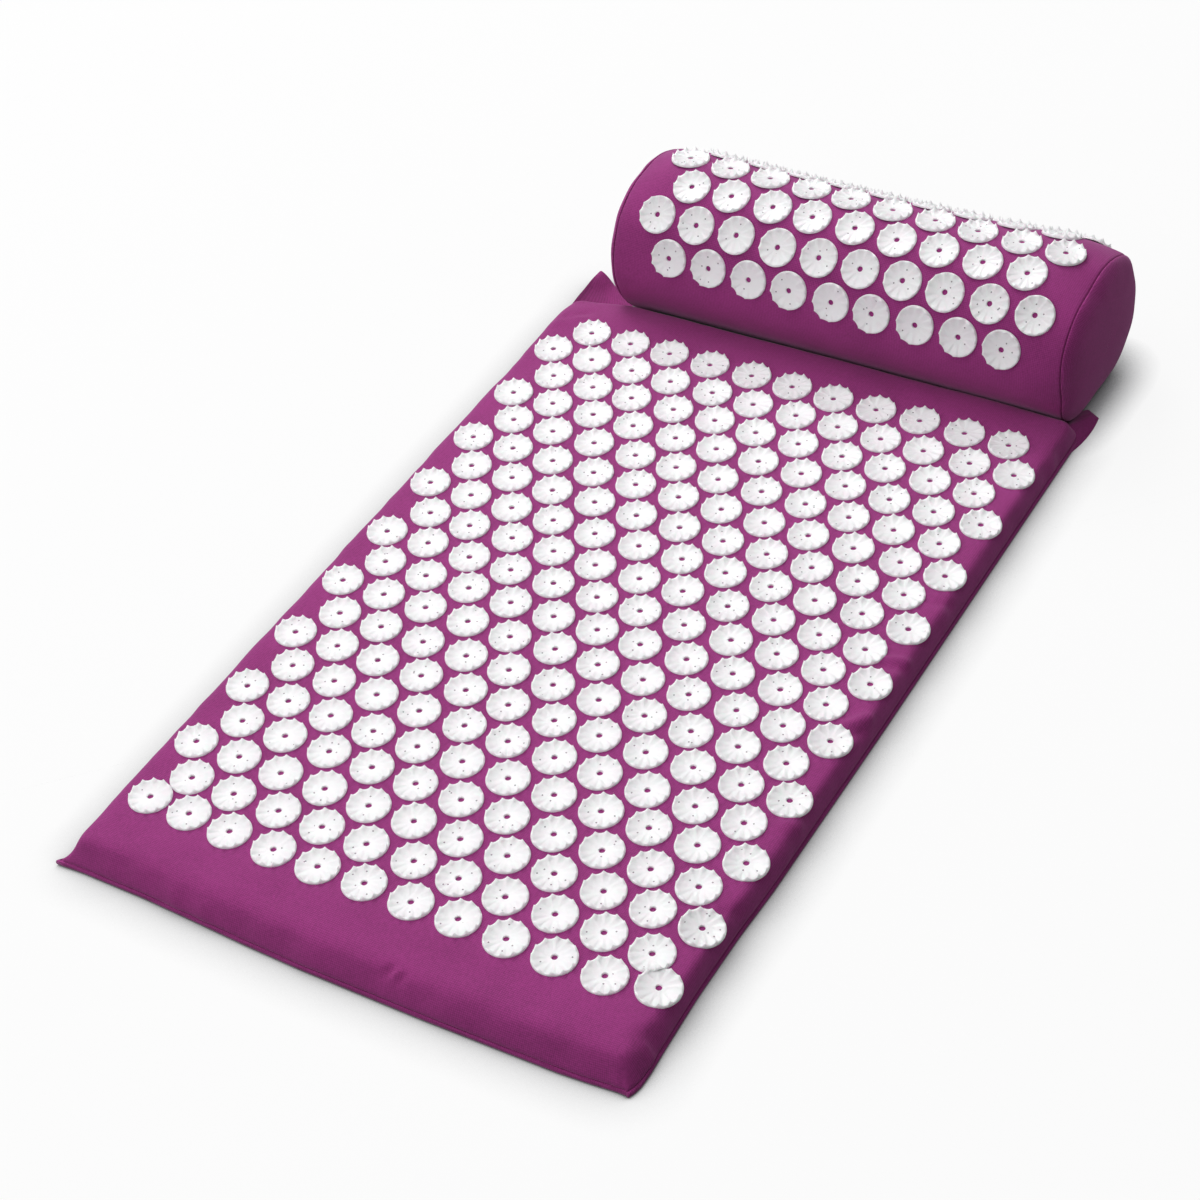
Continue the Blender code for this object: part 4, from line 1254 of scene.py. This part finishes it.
def closed_section(along, inset, floor):
    """Give the bolster's outline closed along the floor."""
    outline = section(along, inset)
    front, rear = outline[0][0], outline[-1][0]
    outline += [(rear + (front - rear) * k / FLOOR_STEPS, 0.0) for k in range(1, FLOOR_STEPS)]
    return [(depth, max(height, floor)) for depth, height in outline]


def dome_points(side, rim, dome, top, inset=0.0, floor=0.0):
    """Give the rings of a domed end, from its rim to its middle."""
    outline = closed_section(side * SEAM_HALF, inset, floor)
    middle_y, middle_z = END_MIDDLE
    rings = []
    for ring, (amount, bulge) in enumerate(rim + dome):
        for depth, height in outline:
            reach = math.hypot(depth - middle_y, height - middle_z)
            share = amount if ring >= len(rim) else 1 - amount * MM / reach
            y = middle_y + (depth - middle_y) * share
            z = middle_z + (height - middle_z) * share
            pucker = math.sin(math.atan2(z - middle_z, y) * PUCKERS) * share ** 6
            lift = bulge * MM + 0.35 * MM * pucker
            out = side * (SEAM_HALF + (lift if bulge > 1 else bulge * MM) - floor_tuck(z))
            rings.append(pillow_point(out, y, max(z, floor + 0.2 * MM)))
    rings.append(pillow_point(side * (SEAM_HALF + top * MM), *END_MIDDLE))
    return rings, len(outline)


def make_end(name, side):
    """Make one domed end panel."""
    points, count = dome_points(side, END_RIM, END_DOME, END_TOP)
    rings = len(END_RIM) + len(END_DOME)
    faces = ring_faces(rings, count)
    last = (rings - 1) * count
    faces += [(last + i, last + (i + 1) % count, len(points) - 1) for i in range(count)]
    mesh = turned_to(mesh_from(name, points, faces), -1, PILLOW_ACROSS * side)
    panel = add_object(name, mesh, plum_cotton)
    mark_cloth(mesh, np.array([(p.y, p.z) for p in points]))
    smoothed(panel)
    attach(panel, "pillow")
    print(name, "triangles", count_triangles(panel))
    return panel


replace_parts(make_end("pillow_left_panel", -1), "pillow_end_left")
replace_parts(make_end("pillow_right_panel", 1), "pillow_end_right")

# %% [markdown]
# The pillow's filling follows the bolster's own outline, a few millimetres inside the cloth.

# %% Filling of the pillow
FILLING_INSET = 4.6 * MM
FILLING_END_INSET = FILLING_INSET + 2.0 * MM
FILLING_LENGTH = 0.985
FILLING_DOME = ((0.8, 3.5), (0.4, 5.5))
FILLING_TOP = 6.0


def make_filling():
    """Make the pillow's foam inside its cloth."""
    stations = np.linspace(-SEAM_HALF, SEAM_HALF, 25)
    points, count = [], 0
    for along in stations:
        inset = FILLING_END_INSET if abs(along) > SEAM_HALF - MM else FILLING_INSET
        outline = closed_section(along, inset, FILLING_INSET)
        count = len(outline)
        points += [pillow_point(along * FILLING_LENGTH, depth, height) for depth, height in outline]
    faces = ring_faces(len(stations), count)
    for side, ring in ((-1, 0), (1, len(stations) - 1)):
        ends, _ = dome_points(side, (), FILLING_DOME, FILLING_TOP, FILLING_END_INSET, FILLING_INSET)
        rim, start = ring * count, len(points)
        second, middle = start + count, start + 2 * count
        points += ends
        following = [(i, (i + 1) % count) for i in range(count)]
        faces += [(rim + i, rim + j, start + j, start + i) for i, j in following]
        faces += ring_faces(2, count, True, start)
        faces += [(second + i, second + j, middle) for i, j in following]
    mesh = outwards(mesh_from("pillow_foam", points, faces))
    filling = add_object("pillow_foam", mesh, seat_foam)
    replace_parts(filling, "pillow_foam_core")
    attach(filling, "pillow")
    return filling


print("filling triangles", count_triangles(make_filling()))

# %% [markdown]
# ## The discs
#
# One disc is a moulded plate with a hole and a crown of twelve pointed teeth round its rim. Its
# crest line rises to each tooth and sinks in a scallop between two. The face inside is flat, and
# its faint flutes and the painted shade of its pits are in its finish, which follows each disc by
# the attribute `disc_place`. One small mesh makes it, and Geometry Nodes lay it on every place.

# %% The disc
TEETH = 12
WALL_FOOT = ((14.15, -0.4),) * 4
WALL_TOP = ((14.2, 0.5),) * 4
CREST = ((13.45, 4.1), (13.8, 1.85), (13.9, 1.25), (13.8, 1.85))
FACE_EDGE = ((12.2, 1.2), (12.7, 1.2), (12.9, 1.2), (12.7, 1.2))
HOLE = ((2.35, 1.2), (2.0, 0.8), (1.95, -0.3))
HOLE_REACH = 2.5 * MM


def ring_of(pairs, count):
    """Give a ring of points whose radius and height repeat a few pairs in millimetres."""
    ring = []
    for k in range(count):
        radius, height = pairs[k % len(pairs)]
        turn = 2 * math.pi * k / count
        ring.append((radius * MM * math.cos(turn), radius * MM * math.sin(turn), height * MM))
    return ring


def disc_mesh():
    """Make the disc's wall, its crown, its face and its hole."""
    columns = 4 * TEETH
    points = []
    for pairs in (WALL_FOOT, WALL_TOP, CREST, FACE_EDGE):
        points += ring_of(pairs, columns)
    for pair in HOLE:
        points += ring_of((pair,), TEETH)
    faces = ring_faces(4, columns)
    first_sector = len(faces)
    face_start, hole_start = 3 * columns, 4 * columns
    for k in range(TEETH):
        edge = [face_start + (4 * k + n) % columns for n in range(5)]
        faces.append((*edge, hole_start + (k + 1) % TEETH, hole_start + k))
    faces += ring_faces(len(HOLE), TEETH, True, hole_start)
    mesh = turned_to(mesh_from("disc", points, faces), first_sector, Vector((0, 0, 1)))
    mesh.shade_smooth()
    near_hole = [math.hypot(*vertex.co[:2]) < HOLE_REACH for vertex in mesh.vertices]
    sharp = mesh.attributes.new("sharp_edge", "BOOLEAN", "EDGE")
    sharp.data.foreach_set("value", [all(near_hole[v] for v in edge.vertices)
                                     for edge in mesh.edges])
    return mesh


disc = add_object("disc", disc_mesh(), disc_plastic, smooth=False)
print("faces of a disc", len(disc.data.polygons))

# %% Geometry Nodes helpers
def new_tree(name, sizes):
    """Start a Geometry Nodes tree with named inputs for its objects and sizes."""
    tree = bpy.data.node_groups.new(name, "GeometryNodeTree")
    tree.interface.new_socket("Geometry", in_out="INPUT", socket_type="NodeSocketGeometry")
    tree.interface.new_socket("Geometry", in_out="OUTPUT", socket_type="NodeSocketGeometry")
    for label, kind in sizes:
        tree.interface.new_socket(label, in_out="INPUT", socket_type="NodeSocket" + kind)
    return tree, tree.nodes.new("NodeGroupInput"), tree.nodes.new("NodeGroupOutput")


def gn(tree, kind, **wired):
    """Add a node. Each keyword is an input's name, with spaces as underscores."""
    node = tree.nodes.new(kind)
    for label, value in wired.items():
        socket = next(s for s in node.inputs if s.name.replace(" ", "_") == label and s.enabled)
        if isinstance(value, bpy.types.NodeSocket):
            tree.links.new(value, socket)
        else:
            socket.default_value = value
    return node


def run_tree(piece, tree, values):
    """Run a tree on an object with its inputs set by identifier, and keep a plain mesh."""
    modifier = piece.modifiers.new(tree.name, "NODES")
    modifier.node_group = tree
    for item in tree.interface.items_tree:
        if item.item_type == "SOCKET" and item.in_out == "INPUT" and item.name in values:
            modifier[item.identifier] = values[item.name]
    return keep_result(piece)

def stored(tree, geometry, name, value, kind="FLOAT", domain="POINT"):
    """Store a value on a geometry as a named attribute."""
    node = tree.nodes.new("GeometryNodeStoreNamedAttribute")
    node.data_type = kind
    node.domain = domain
    node.inputs["Name"].default_value = name
    tree.links.new(geometry, node.inputs["Geometry"])
    tree.links.new(value, node.inputs["Value"])
    return node.outputs["Geometry"]


def finish_tree(tree, instances, finish, result):
    """Turn instances into plain mesh, give it its finish and end the tree."""
    whole = gn(tree, "GeometryNodeRealizeInstances", Geometry=instances)
    painted = gn(tree, "GeometryNodeSetMaterial", Geometry=whole.outputs[0], Material=finish)
    tree.links.new(painted.outputs[0], result.inputs[0])
    return tree

# %% The disc tree
HIGHEST_NUMBER = 900.0


def spin_about_z(tree, instances, amount):
    """Turn instances about their own upright axis."""
    axis = gn(tree, "ShaderNodeCombineXYZ", Z=amount)
    rotation = gn(tree, "FunctionNodeEulerToRotation", Euler=axis.outputs[0])
    return gn(tree, "GeometryNodeRotateInstances", Instances=instances,
              Rotation=rotation.outputs[0]).outputs[0]


def disc_tree():
    """Build the tree that lays discs on points."""
    tree, given, result = new_tree("lay_discs", (
        ("Disc", "Object"), ("Finish", "Material"), ("Seed", "Int")))
    out = {s.name: s for s in given.outputs}
    one = gn(tree, "GeometryNodeObjectInfo", Object=out["Disc"]).outputs["Geometry"]
    place = gn(tree, "GeometryNodeInputPosition")
    marked = stored(tree, one, "disc_place", place.outputs[0], "FLOAT_VECTOR")
    upright = gn(tree, "GeometryNodeInputNamedAttribute", Name="upright")
    upright.data_type = "FLOAT_VECTOR"
    tilt = gn(tree, "FunctionNodeAlignRotationToVector")
    tilt.axis = "Z"
    tree.links.new(upright.outputs["Attribute"], tilt.inputs["Vector"])
    spread = gn(tree, "GeometryNodeInstanceOnPoints", Points=out["Geometry"], Instance=marked,
                Rotation=tilt.outputs[0])
    number = gn(tree, "FunctionNodeRandomValue", Max=HIGHEST_NUMBER, Seed=out["Seed"])
    numbered = stored(tree, spread.outputs[0], "disc_number", number.outputs[1],
                      domain="INSTANCE")
    spin = gn(tree, "FunctionNodeRandomValue", Max=2 * math.pi, Seed=out["Seed"])
    turned = spin_about_z(tree, numbered, spin.outputs[1])
    return finish_tree(tree, turned, out["Finish"], result)


lay_discs = disc_tree()
print("nodes in the disc tree", len(lay_discs.nodes))

# %% [markdown]
# ### Laying them on the cloth
#
# Each place is dropped onto the finished cloth by casting rays at it. The cloth under a disc is
# a little uneven, so two rings of rays are cast: the disc tilts with the outer ring and rests on
# the highest hit of both, as a rigid plate does.

# %% Lay the discs
RAYS_ROUND = 8
SINK = 0.5 * MM
MAT_SPREAD, PILLOW_SPREAD = 11 * MM, 6 * MM
UP = Vector((0, 0, 1))


def seat(tree, origin, direction, spread):
    """Drop a plate onto cloth and give its place and its upright direction."""
    side = direction.orthogonal().normalized()
    hits = []
    for reach in (spread, spread / 2):
        for k in range(RAYS_ROUND):
            offset = Matrix.Rotation(2 * math.pi * k / RAYS_ROUND, 3, direction) @ side * reach
            hit = tree.ray_cast(origin + offset, direction)[0]
            if hit is not None:
                hits.append(hit)
    outer = hits[:RAYS_ROUND]
    mean = sum(outer, Vector()) / len(outer)
    normal = Vector()
    for a, b in zip(outer, outer[1:] + outer[:1]):
        normal += (a - mean).cross(b - mean)
    normal.normalize()
    if normal.dot(direction) > 0:
        normal = -normal
    highest = max((hit - mean).dot(normal) for hit in hits)
    return mean + normal * max(0.0, highest - SINK), normal


def cloth_tree(piece):
    """Give a search tree of a finished cloth."""
    return BVHTree.FromPolygons([v.co for v in piece.data.vertices],
                                [p.vertices for p in piece.data.polygons])


def laid_discs(name, seats, body, seed):
    """Make the discs of one body as one mesh."""
    mesh = mesh_from(name, [place for place, _ in seats], [])
    attribute = mesh.attributes.new("upright", "FLOAT_VECTOR", "POINT")
    attribute.data.foreach_set("vector", [c for _, normal in seats for c in normal])
    piece = add_object(name, mesh, disc_plastic, smooth=False)
    run_tree(piece, lay_discs, {"Disc": disc, "Finish": disc_plastic, "Seed": seed})
    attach(piece, body)
    print(name, "triangles", count_triangles(piece))


mat_cloth = cloth_tree(mat_cover)
mat_seats = [seat(mat_cloth, Vector((x, y, 60 * MM)), -UP, MAT_SPREAD) for x, y in mat_places]
laid_discs("mat_discs", mat_seats, "mat", 7)

# %% Lay the pillow's discs
pillow_cloth = cloth_tree(pillow_wrap)
pillow_seats = []
for place, turn_angle in pillow_places:
    inward = PILLOW_BACK * math.cos(turn_angle) - UP * math.sin(turn_angle)
    start = pillow_point(place, 0.0, AXIS_HEIGHT) - inward * 90 * MM
    pillow_seats.append(seat(pillow_cloth, start, inward, PILLOW_SPREAD))
laid_discs("pillow_discs", pillow_seats, "pillow", 8)
bpy.data.objects.remove(disc)

# %% [markdown]
# ## The pillow's underside
#
# The bolster rests on a flat panel. It is the CAD panel with its edges rounded by a small bevel,
# so that the fold of the cloth at its zip slot catches the light.

# %% Dressed copies of CAD nodes
def dressed_copy(node, name, material, bevel, body, segments=2):
    """Copy a CAD node, round its edges and replace the node."""
    mesh = cad_copy(node, name, 0.005 * MM, math.radians(1))
    piece = add_object(name, mesh, material, smooth=False)
    rounding = piece.modifiers.new("rounding", "BEVEL")
    rounding.width = bevel
    rounding.segments = segments
    rounding.limit_method = "ANGLE"
    rounding.angle_limit = math.radians(35)
    keep_result(piece)
    piece.data.shade_smooth()
    piece.data.set_sharp_from_angle(angle=math.radians(50))
    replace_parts(piece, node)
    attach(piece, body)
    print(name, "triangles", count_triangles(piece))
    return piece


underside = dressed_copy("pillow_base_panel", "pillow_underside", plum_cotton, 0.3 * MM,
                         "pillow")
mark_cloth(underside.data, points_of(underside.data))

# %% [markdown]
# ## The zips
#
# Under the mat and under the pillow runs a zip. Its slider, pull and stops are small castings,
# so they are the CAD nodes with rounded edges. Each half is a woven tape with a row of moulded
# teeth. A tooth is a small block of a dozen faces, and Geometry Nodes repeat it along a line, at
# the pitch of the real chain.

# %% Metal parts of the zips
for prefix in ("mat", "pillow"):
    for part_name, body in (("slider", prefix + "_slider"), ("pull", prefix + "_pull"),
                            ("stop_left", prefix), ("stop_right", prefix)):
        dressed_copy(prefix + "_zip_" + part_name, prefix + "_" + part_name + "_metal", zip_metal,
                     0.12 * MM, body)

# %% One tooth
TOOTH_SECTIONS = ((0.0, 0.42, 0.62), (0.9, 0.42, 0.80), (1.25, 0.26, 0.55))


def tooth_mesh():
    """Make one moulded tooth: a foot on the tape and a narrower head."""
    points = []
    for out, half, tall in TOOTH_SECTIONS:
        points += [(-half, -out, -tall), (half, -out, -tall), (half, -out, tall),
                   (-half, -out, tall)]
    faces = ring_faces(len(TOOTH_SECTIONS), 4) + [(3, 2, 1, 0), (8, 9, 10, 11)]
    return mesh_from("tooth", [[c * MM for c in p] for p in points], faces)


def teeth_tree():
    """Build the tree that repeats a tooth along a straight line."""
    tree, given, result = new_tree("row_of_teeth", (
        ("Tooth", "Object"), ("Start", "Vector"), ("Step", "Vector"), ("Teeth", "Int"),
        ("Turn", "Vector"), ("Finish", "Material")))
    out = {s.name: s for s in given.outputs}
    line = gn(tree, "GeometryNodeMeshLine", Count=out["Teeth"], Start_Location=out["Start"],
              Offset=out["Step"])
    tooth = gn(tree, "GeometryNodeObjectInfo", Object=out["Tooth"])
    rotation = gn(tree, "FunctionNodeEulerToRotation", Euler=out["Turn"])
    row = gn(tree, "GeometryNodeInstanceOnPoints", Points=line.outputs[0],
             Instance=tooth.outputs["Geometry"], Rotation=rotation.outputs[0])
    return finish_tree(tree, row.outputs[0], out["Finish"], result)


tooth = add_object("tooth", tooth_mesh(), tooth_plastic, smooth=False)
row_of_teeth = teeth_tree()
print("faces of a tooth", len(tooth.data.polygons))

# %% Tapes and teeth
TOOTH_PITCH = 1.5 * MM
TEETH_OUT = 2.0 * MM
STOP_GAP = 2.6 * MM
CHAIN_Z = sum(v.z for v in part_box("mat_zip_half_head")) / 2
TAPE_SECTION = ((1.15, 0.0), (1.35, 0.30), (1.9, 0.42), (2.5, 0.30), (13.0, 0.26),
                (13.0, -0.26), (2.5, -0.30), (1.9, -0.42), (1.35, -0.30))
TAPE_RINGS = 80


def tape_piece(name, node, side, centre, across, back):
    """Make one woven tape with a rolled cord along its inner edge."""
    low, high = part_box(node)
    half = (high.x - low.x) / 2 - (0.5 * MM if abs(across.y) > 1e-6 else 0)
    points = []
    for k in range(TAPE_RINGS + 1):
        along = -half + 2 * half * k / TAPE_RINGS
        for out, z in TAPE_SECTION:
            ripple = 0.05 * math.sin(along / (7 * MM)) if out > 6 else 0.0
            point = centre + across * along + back * side * out * MM
            points.append((point.x, point.y, CHAIN_Z + (z + ripple) * MM))
    count = len(TAPE_SECTION)
    faces = ring_faces(TAPE_RINGS + 1, count)
    faces += [tuple(range(count)), tuple(TAPE_RINGS * count + k for k in reversed(range(count)))]
    return add_object(name, outwards(mesh_from(name, points, faces)), zip_tape, smooth=False)


def chain_ends(prefix, centre, across):
    """Give where a zip's chain starts and ends along it, inside its two stops."""
    places = []
    for end in ("left", "right"):
        low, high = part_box(prefix + "_zip_stop_" + end)
        middle = Vector(((low.x + high.x) / 2, (low.y + high.y) / 2, 0))
        places.append((middle - centre).dot(across))
    return places[0] + STOP_GAP, places[1] - STOP_GAP


def zip_half(prefix, side, centre, across, back):
    """Make the tape and the teeth of one half of a zip."""
    half = "head" if side > 0 else "foot"
    node = prefix + "_zip_half_" + half
    start, end = chain_ends(prefix, centre, across)
    teeth = int((end - start) / TOOTH_PITCH) + 1
    if side > 0:
        start += TOOTH_PITCH / 2
    begin = centre + across * start + back * side * TEETH_OUT
    begin.z = CHAIN_Z
    heading = math.atan2(across.y, across.x) + (0 if side > 0 else math.pi)
    row = add_object(prefix + "_teeth_" + half, mesh_from("row", [(0, 0, 0)], []),
                     tooth_plastic, smooth=False)
    run_tree(row, row_of_teeth, {
        "Tooth": tooth, "Start": begin, "Step": across * TOOTH_PITCH, "Teeth": teeth,
        "Turn": Vector((0, 0, heading)), "Finish": tooth_plastic})
    row.data.shade_smooth()
    row.data.set_sharp_from_angle(angle=math.radians(30))
    tape = tape_piece(prefix + "_tape_" + half, node, side, centre, across, back)
    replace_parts(tape, node)
    for piece in (tape, row):
        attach(piece, prefix)
    print(row.name, "teeth", teeth)


MAT_ZIP_CENTRE = Vector(((slot_low.x + slot_high.x) / 2, ZIP_Y, 0.0))
for side in (-1, 1):
    zip_half("mat", side, MAT_ZIP_CENTRE, Vector((1, 0, 0)), Vector((0, 1, 0)))
    zip_half("pillow", side, PILLOW_CENTRE, PILLOW_ACROSS, PILLOW_BACK)
bpy.data.objects.remove(tooth)

# %% [markdown]
# ## Light, floor and background
#
# The photograph is lit by large soft sources. The key lamp stands above and behind the mat on the
# left, so the top is bright and the right wall is dark, and a second one hangs overhead. A fill
# in front and a weak lamp on the right keep the shaded cloth readable. The floor is white. Most of
# it glows, and ambient occlusion darkens that glow near the mat and pillow as a painted contact
# shadow. A tenth of it is plain white that keeps the lamps' own shadow. The white of the background
# comes from its colour, seen by the camera and by what reflects it, and adds no light to the mat.

# %% Light
def soft_lamp(name, place, target, size, power):
    """Add a square soft lamp that points at a target."""
    data = bpy.data.lights.new(name, "AREA")
    data.shape = "SQUARE"
    data.size = size
    data.energy = power
    lamp = bpy.data.objects.new(name, data)
    lamp.location = place
    lamp.rotation_mode = "QUATERNION"
    lamp.rotation_quaternion = (Vector(target) - Vector(place)).to_track_quat("-Z", "Y")
    bpy.context.scene.collection.objects.link(lamp)


soft_lamp("key", (-1.6, 1.9, 2.2), (0.0, 0.1, 0.0), 1.6, 54.0)
soft_lamp("overhead", (-0.8, 0.0, 2.6), (0.0, 0.0, 0.0), 2.5, 31.0)
soft_lamp("fill", (-1.4, -2.2, 1.6), (0.0, 0.0, 0.0), 2.0, 30.0)
soft_lamp("side", (2.3, 0.9, 1.2), (0.1, 0.2, 0.0), 1.2, 6.0)

# %% Shaders of the floor and the world
# These greys, picked by ambient occlusion, colour the floor's glow: a painted contact shadow.
FLOOR_PAINTED_SHADE = ((0.30, (0.01, 0.01, 0.011)), (0.47, (0.13, 0.13, 0.134)),
               (0.67, (0.50, 0.50, 0.505)), (0.96, (0.985, 0.985, 0.985)))
FLOOR_GLOW = 0.90
PAINTED_SHADOW_REACH = 32 * MM
HORIZON = 0.902


def grey(level):
    """Give a grey colour."""
    return (level, level, level, 1.0)


def seen_value(tree):
    """Give one where the camera looks straight on, or in a reflection or through something."""
    path = tree.nodes.new("ShaderNodeLightPath")
    seen = math_value(tree, "MAXIMUM", path.outputs["Is Camera Ray"],
                      path.outputs["Is Glossy Ray"])
    return math_value(tree, "MAXIMUM", seen, path.outputs["Is Transmission Ray"])


def diffuse(tree, level):
    """Add a plain diffuse shader of one grey."""
    node = tree.nodes.new("ShaderNodeBsdfDiffuse")
    node.inputs["Color"].default_value = grey(level)
    return node.outputs[0]


def mixed(tree, first, second):
    """Mix two shaders and give the node, whose share is still to be set."""
    node = tree.nodes.new("ShaderNodeMixShader")
    tree.links.new(first, node.inputs[1])
    tree.links.new(second, node.inputs[2])
    return node

# %% Floor and world
def make_floor():
    """Make a white floor with a painted contact shadow, which also keeps a little of the lamps'
    shadow.
    """
    bpy.ops.mesh.primitive_plane_add(size=60.0, location=(0, 0, -0.05 * MM))
    floor = bpy.context.object
    floor.name = "floor"
    material = bpy.data.materials.new("white_floor")
    material.use_nodes = True
    tree = material.node_tree
    tree.nodes.remove(tree.nodes["Principled BSDF"])
    bounce = diffuse(tree, 0.22)
    paper = diffuse(tree, 0.9)
    # Ambient occlusion darkens the glow near the mat and pillow: painted contact shadow.
    near = tree.nodes.new("ShaderNodeAmbientOcclusion")
    near.inputs["Distance"].default_value = PAINTED_SHADOW_REACH
    near.samples = 8
    glow = tree.nodes.new("ShaderNodeEmission")
    tree.links.new(colour_ramp(tree, near.outputs["AO"], FLOOR_PAINTED_SHADE), glow.inputs["Color"])
    glow.inputs["Strength"].default_value = 1.0
    shown = mixed(tree, paper, glow.outputs[0])
    shown.inputs["Fac"].default_value = FLOOR_GLOW
    surface = mixed(tree, bounce, shown.outputs[0])
    tree.links.new(seen_value(tree), surface.inputs["Fac"])
    tree.links.new(surface.outputs[0], tree.nodes["Material Output"].inputs["Surface"])
    floor.data.materials.append(material)


def make_world(strength):
    """Light the scene evenly, and show the floor's far tone where the camera looks past it."""
    world = bpy.data.worlds.new("studio")
    bpy.context.scene.world = world
    world.use_nodes = True
    tree = world.node_tree
    plain = tree.nodes["Background"]
    plain.inputs["Color"].default_value = grey(1.0)
    plain.inputs["Strength"].default_value = strength
    white = tree.nodes.new("ShaderNodeBackground")
    white.inputs["Color"].default_value = grey(HORIZON)
    white.inputs["Strength"].default_value = 1.0
    path = tree.nodes.new("ShaderNodeLightPath")
    shown = mixed(tree, plain.outputs[0], white.outputs[0])
    tree.links.new(path.outputs["Is Camera Ray"], shown.inputs["Fac"])
    tree.links.new(shown.outputs[0], tree.nodes["World Output"].inputs["Surface"])


make_floor()
make_world(0.17)
bpy.context.scene.view_settings.view_transform = "Standard"
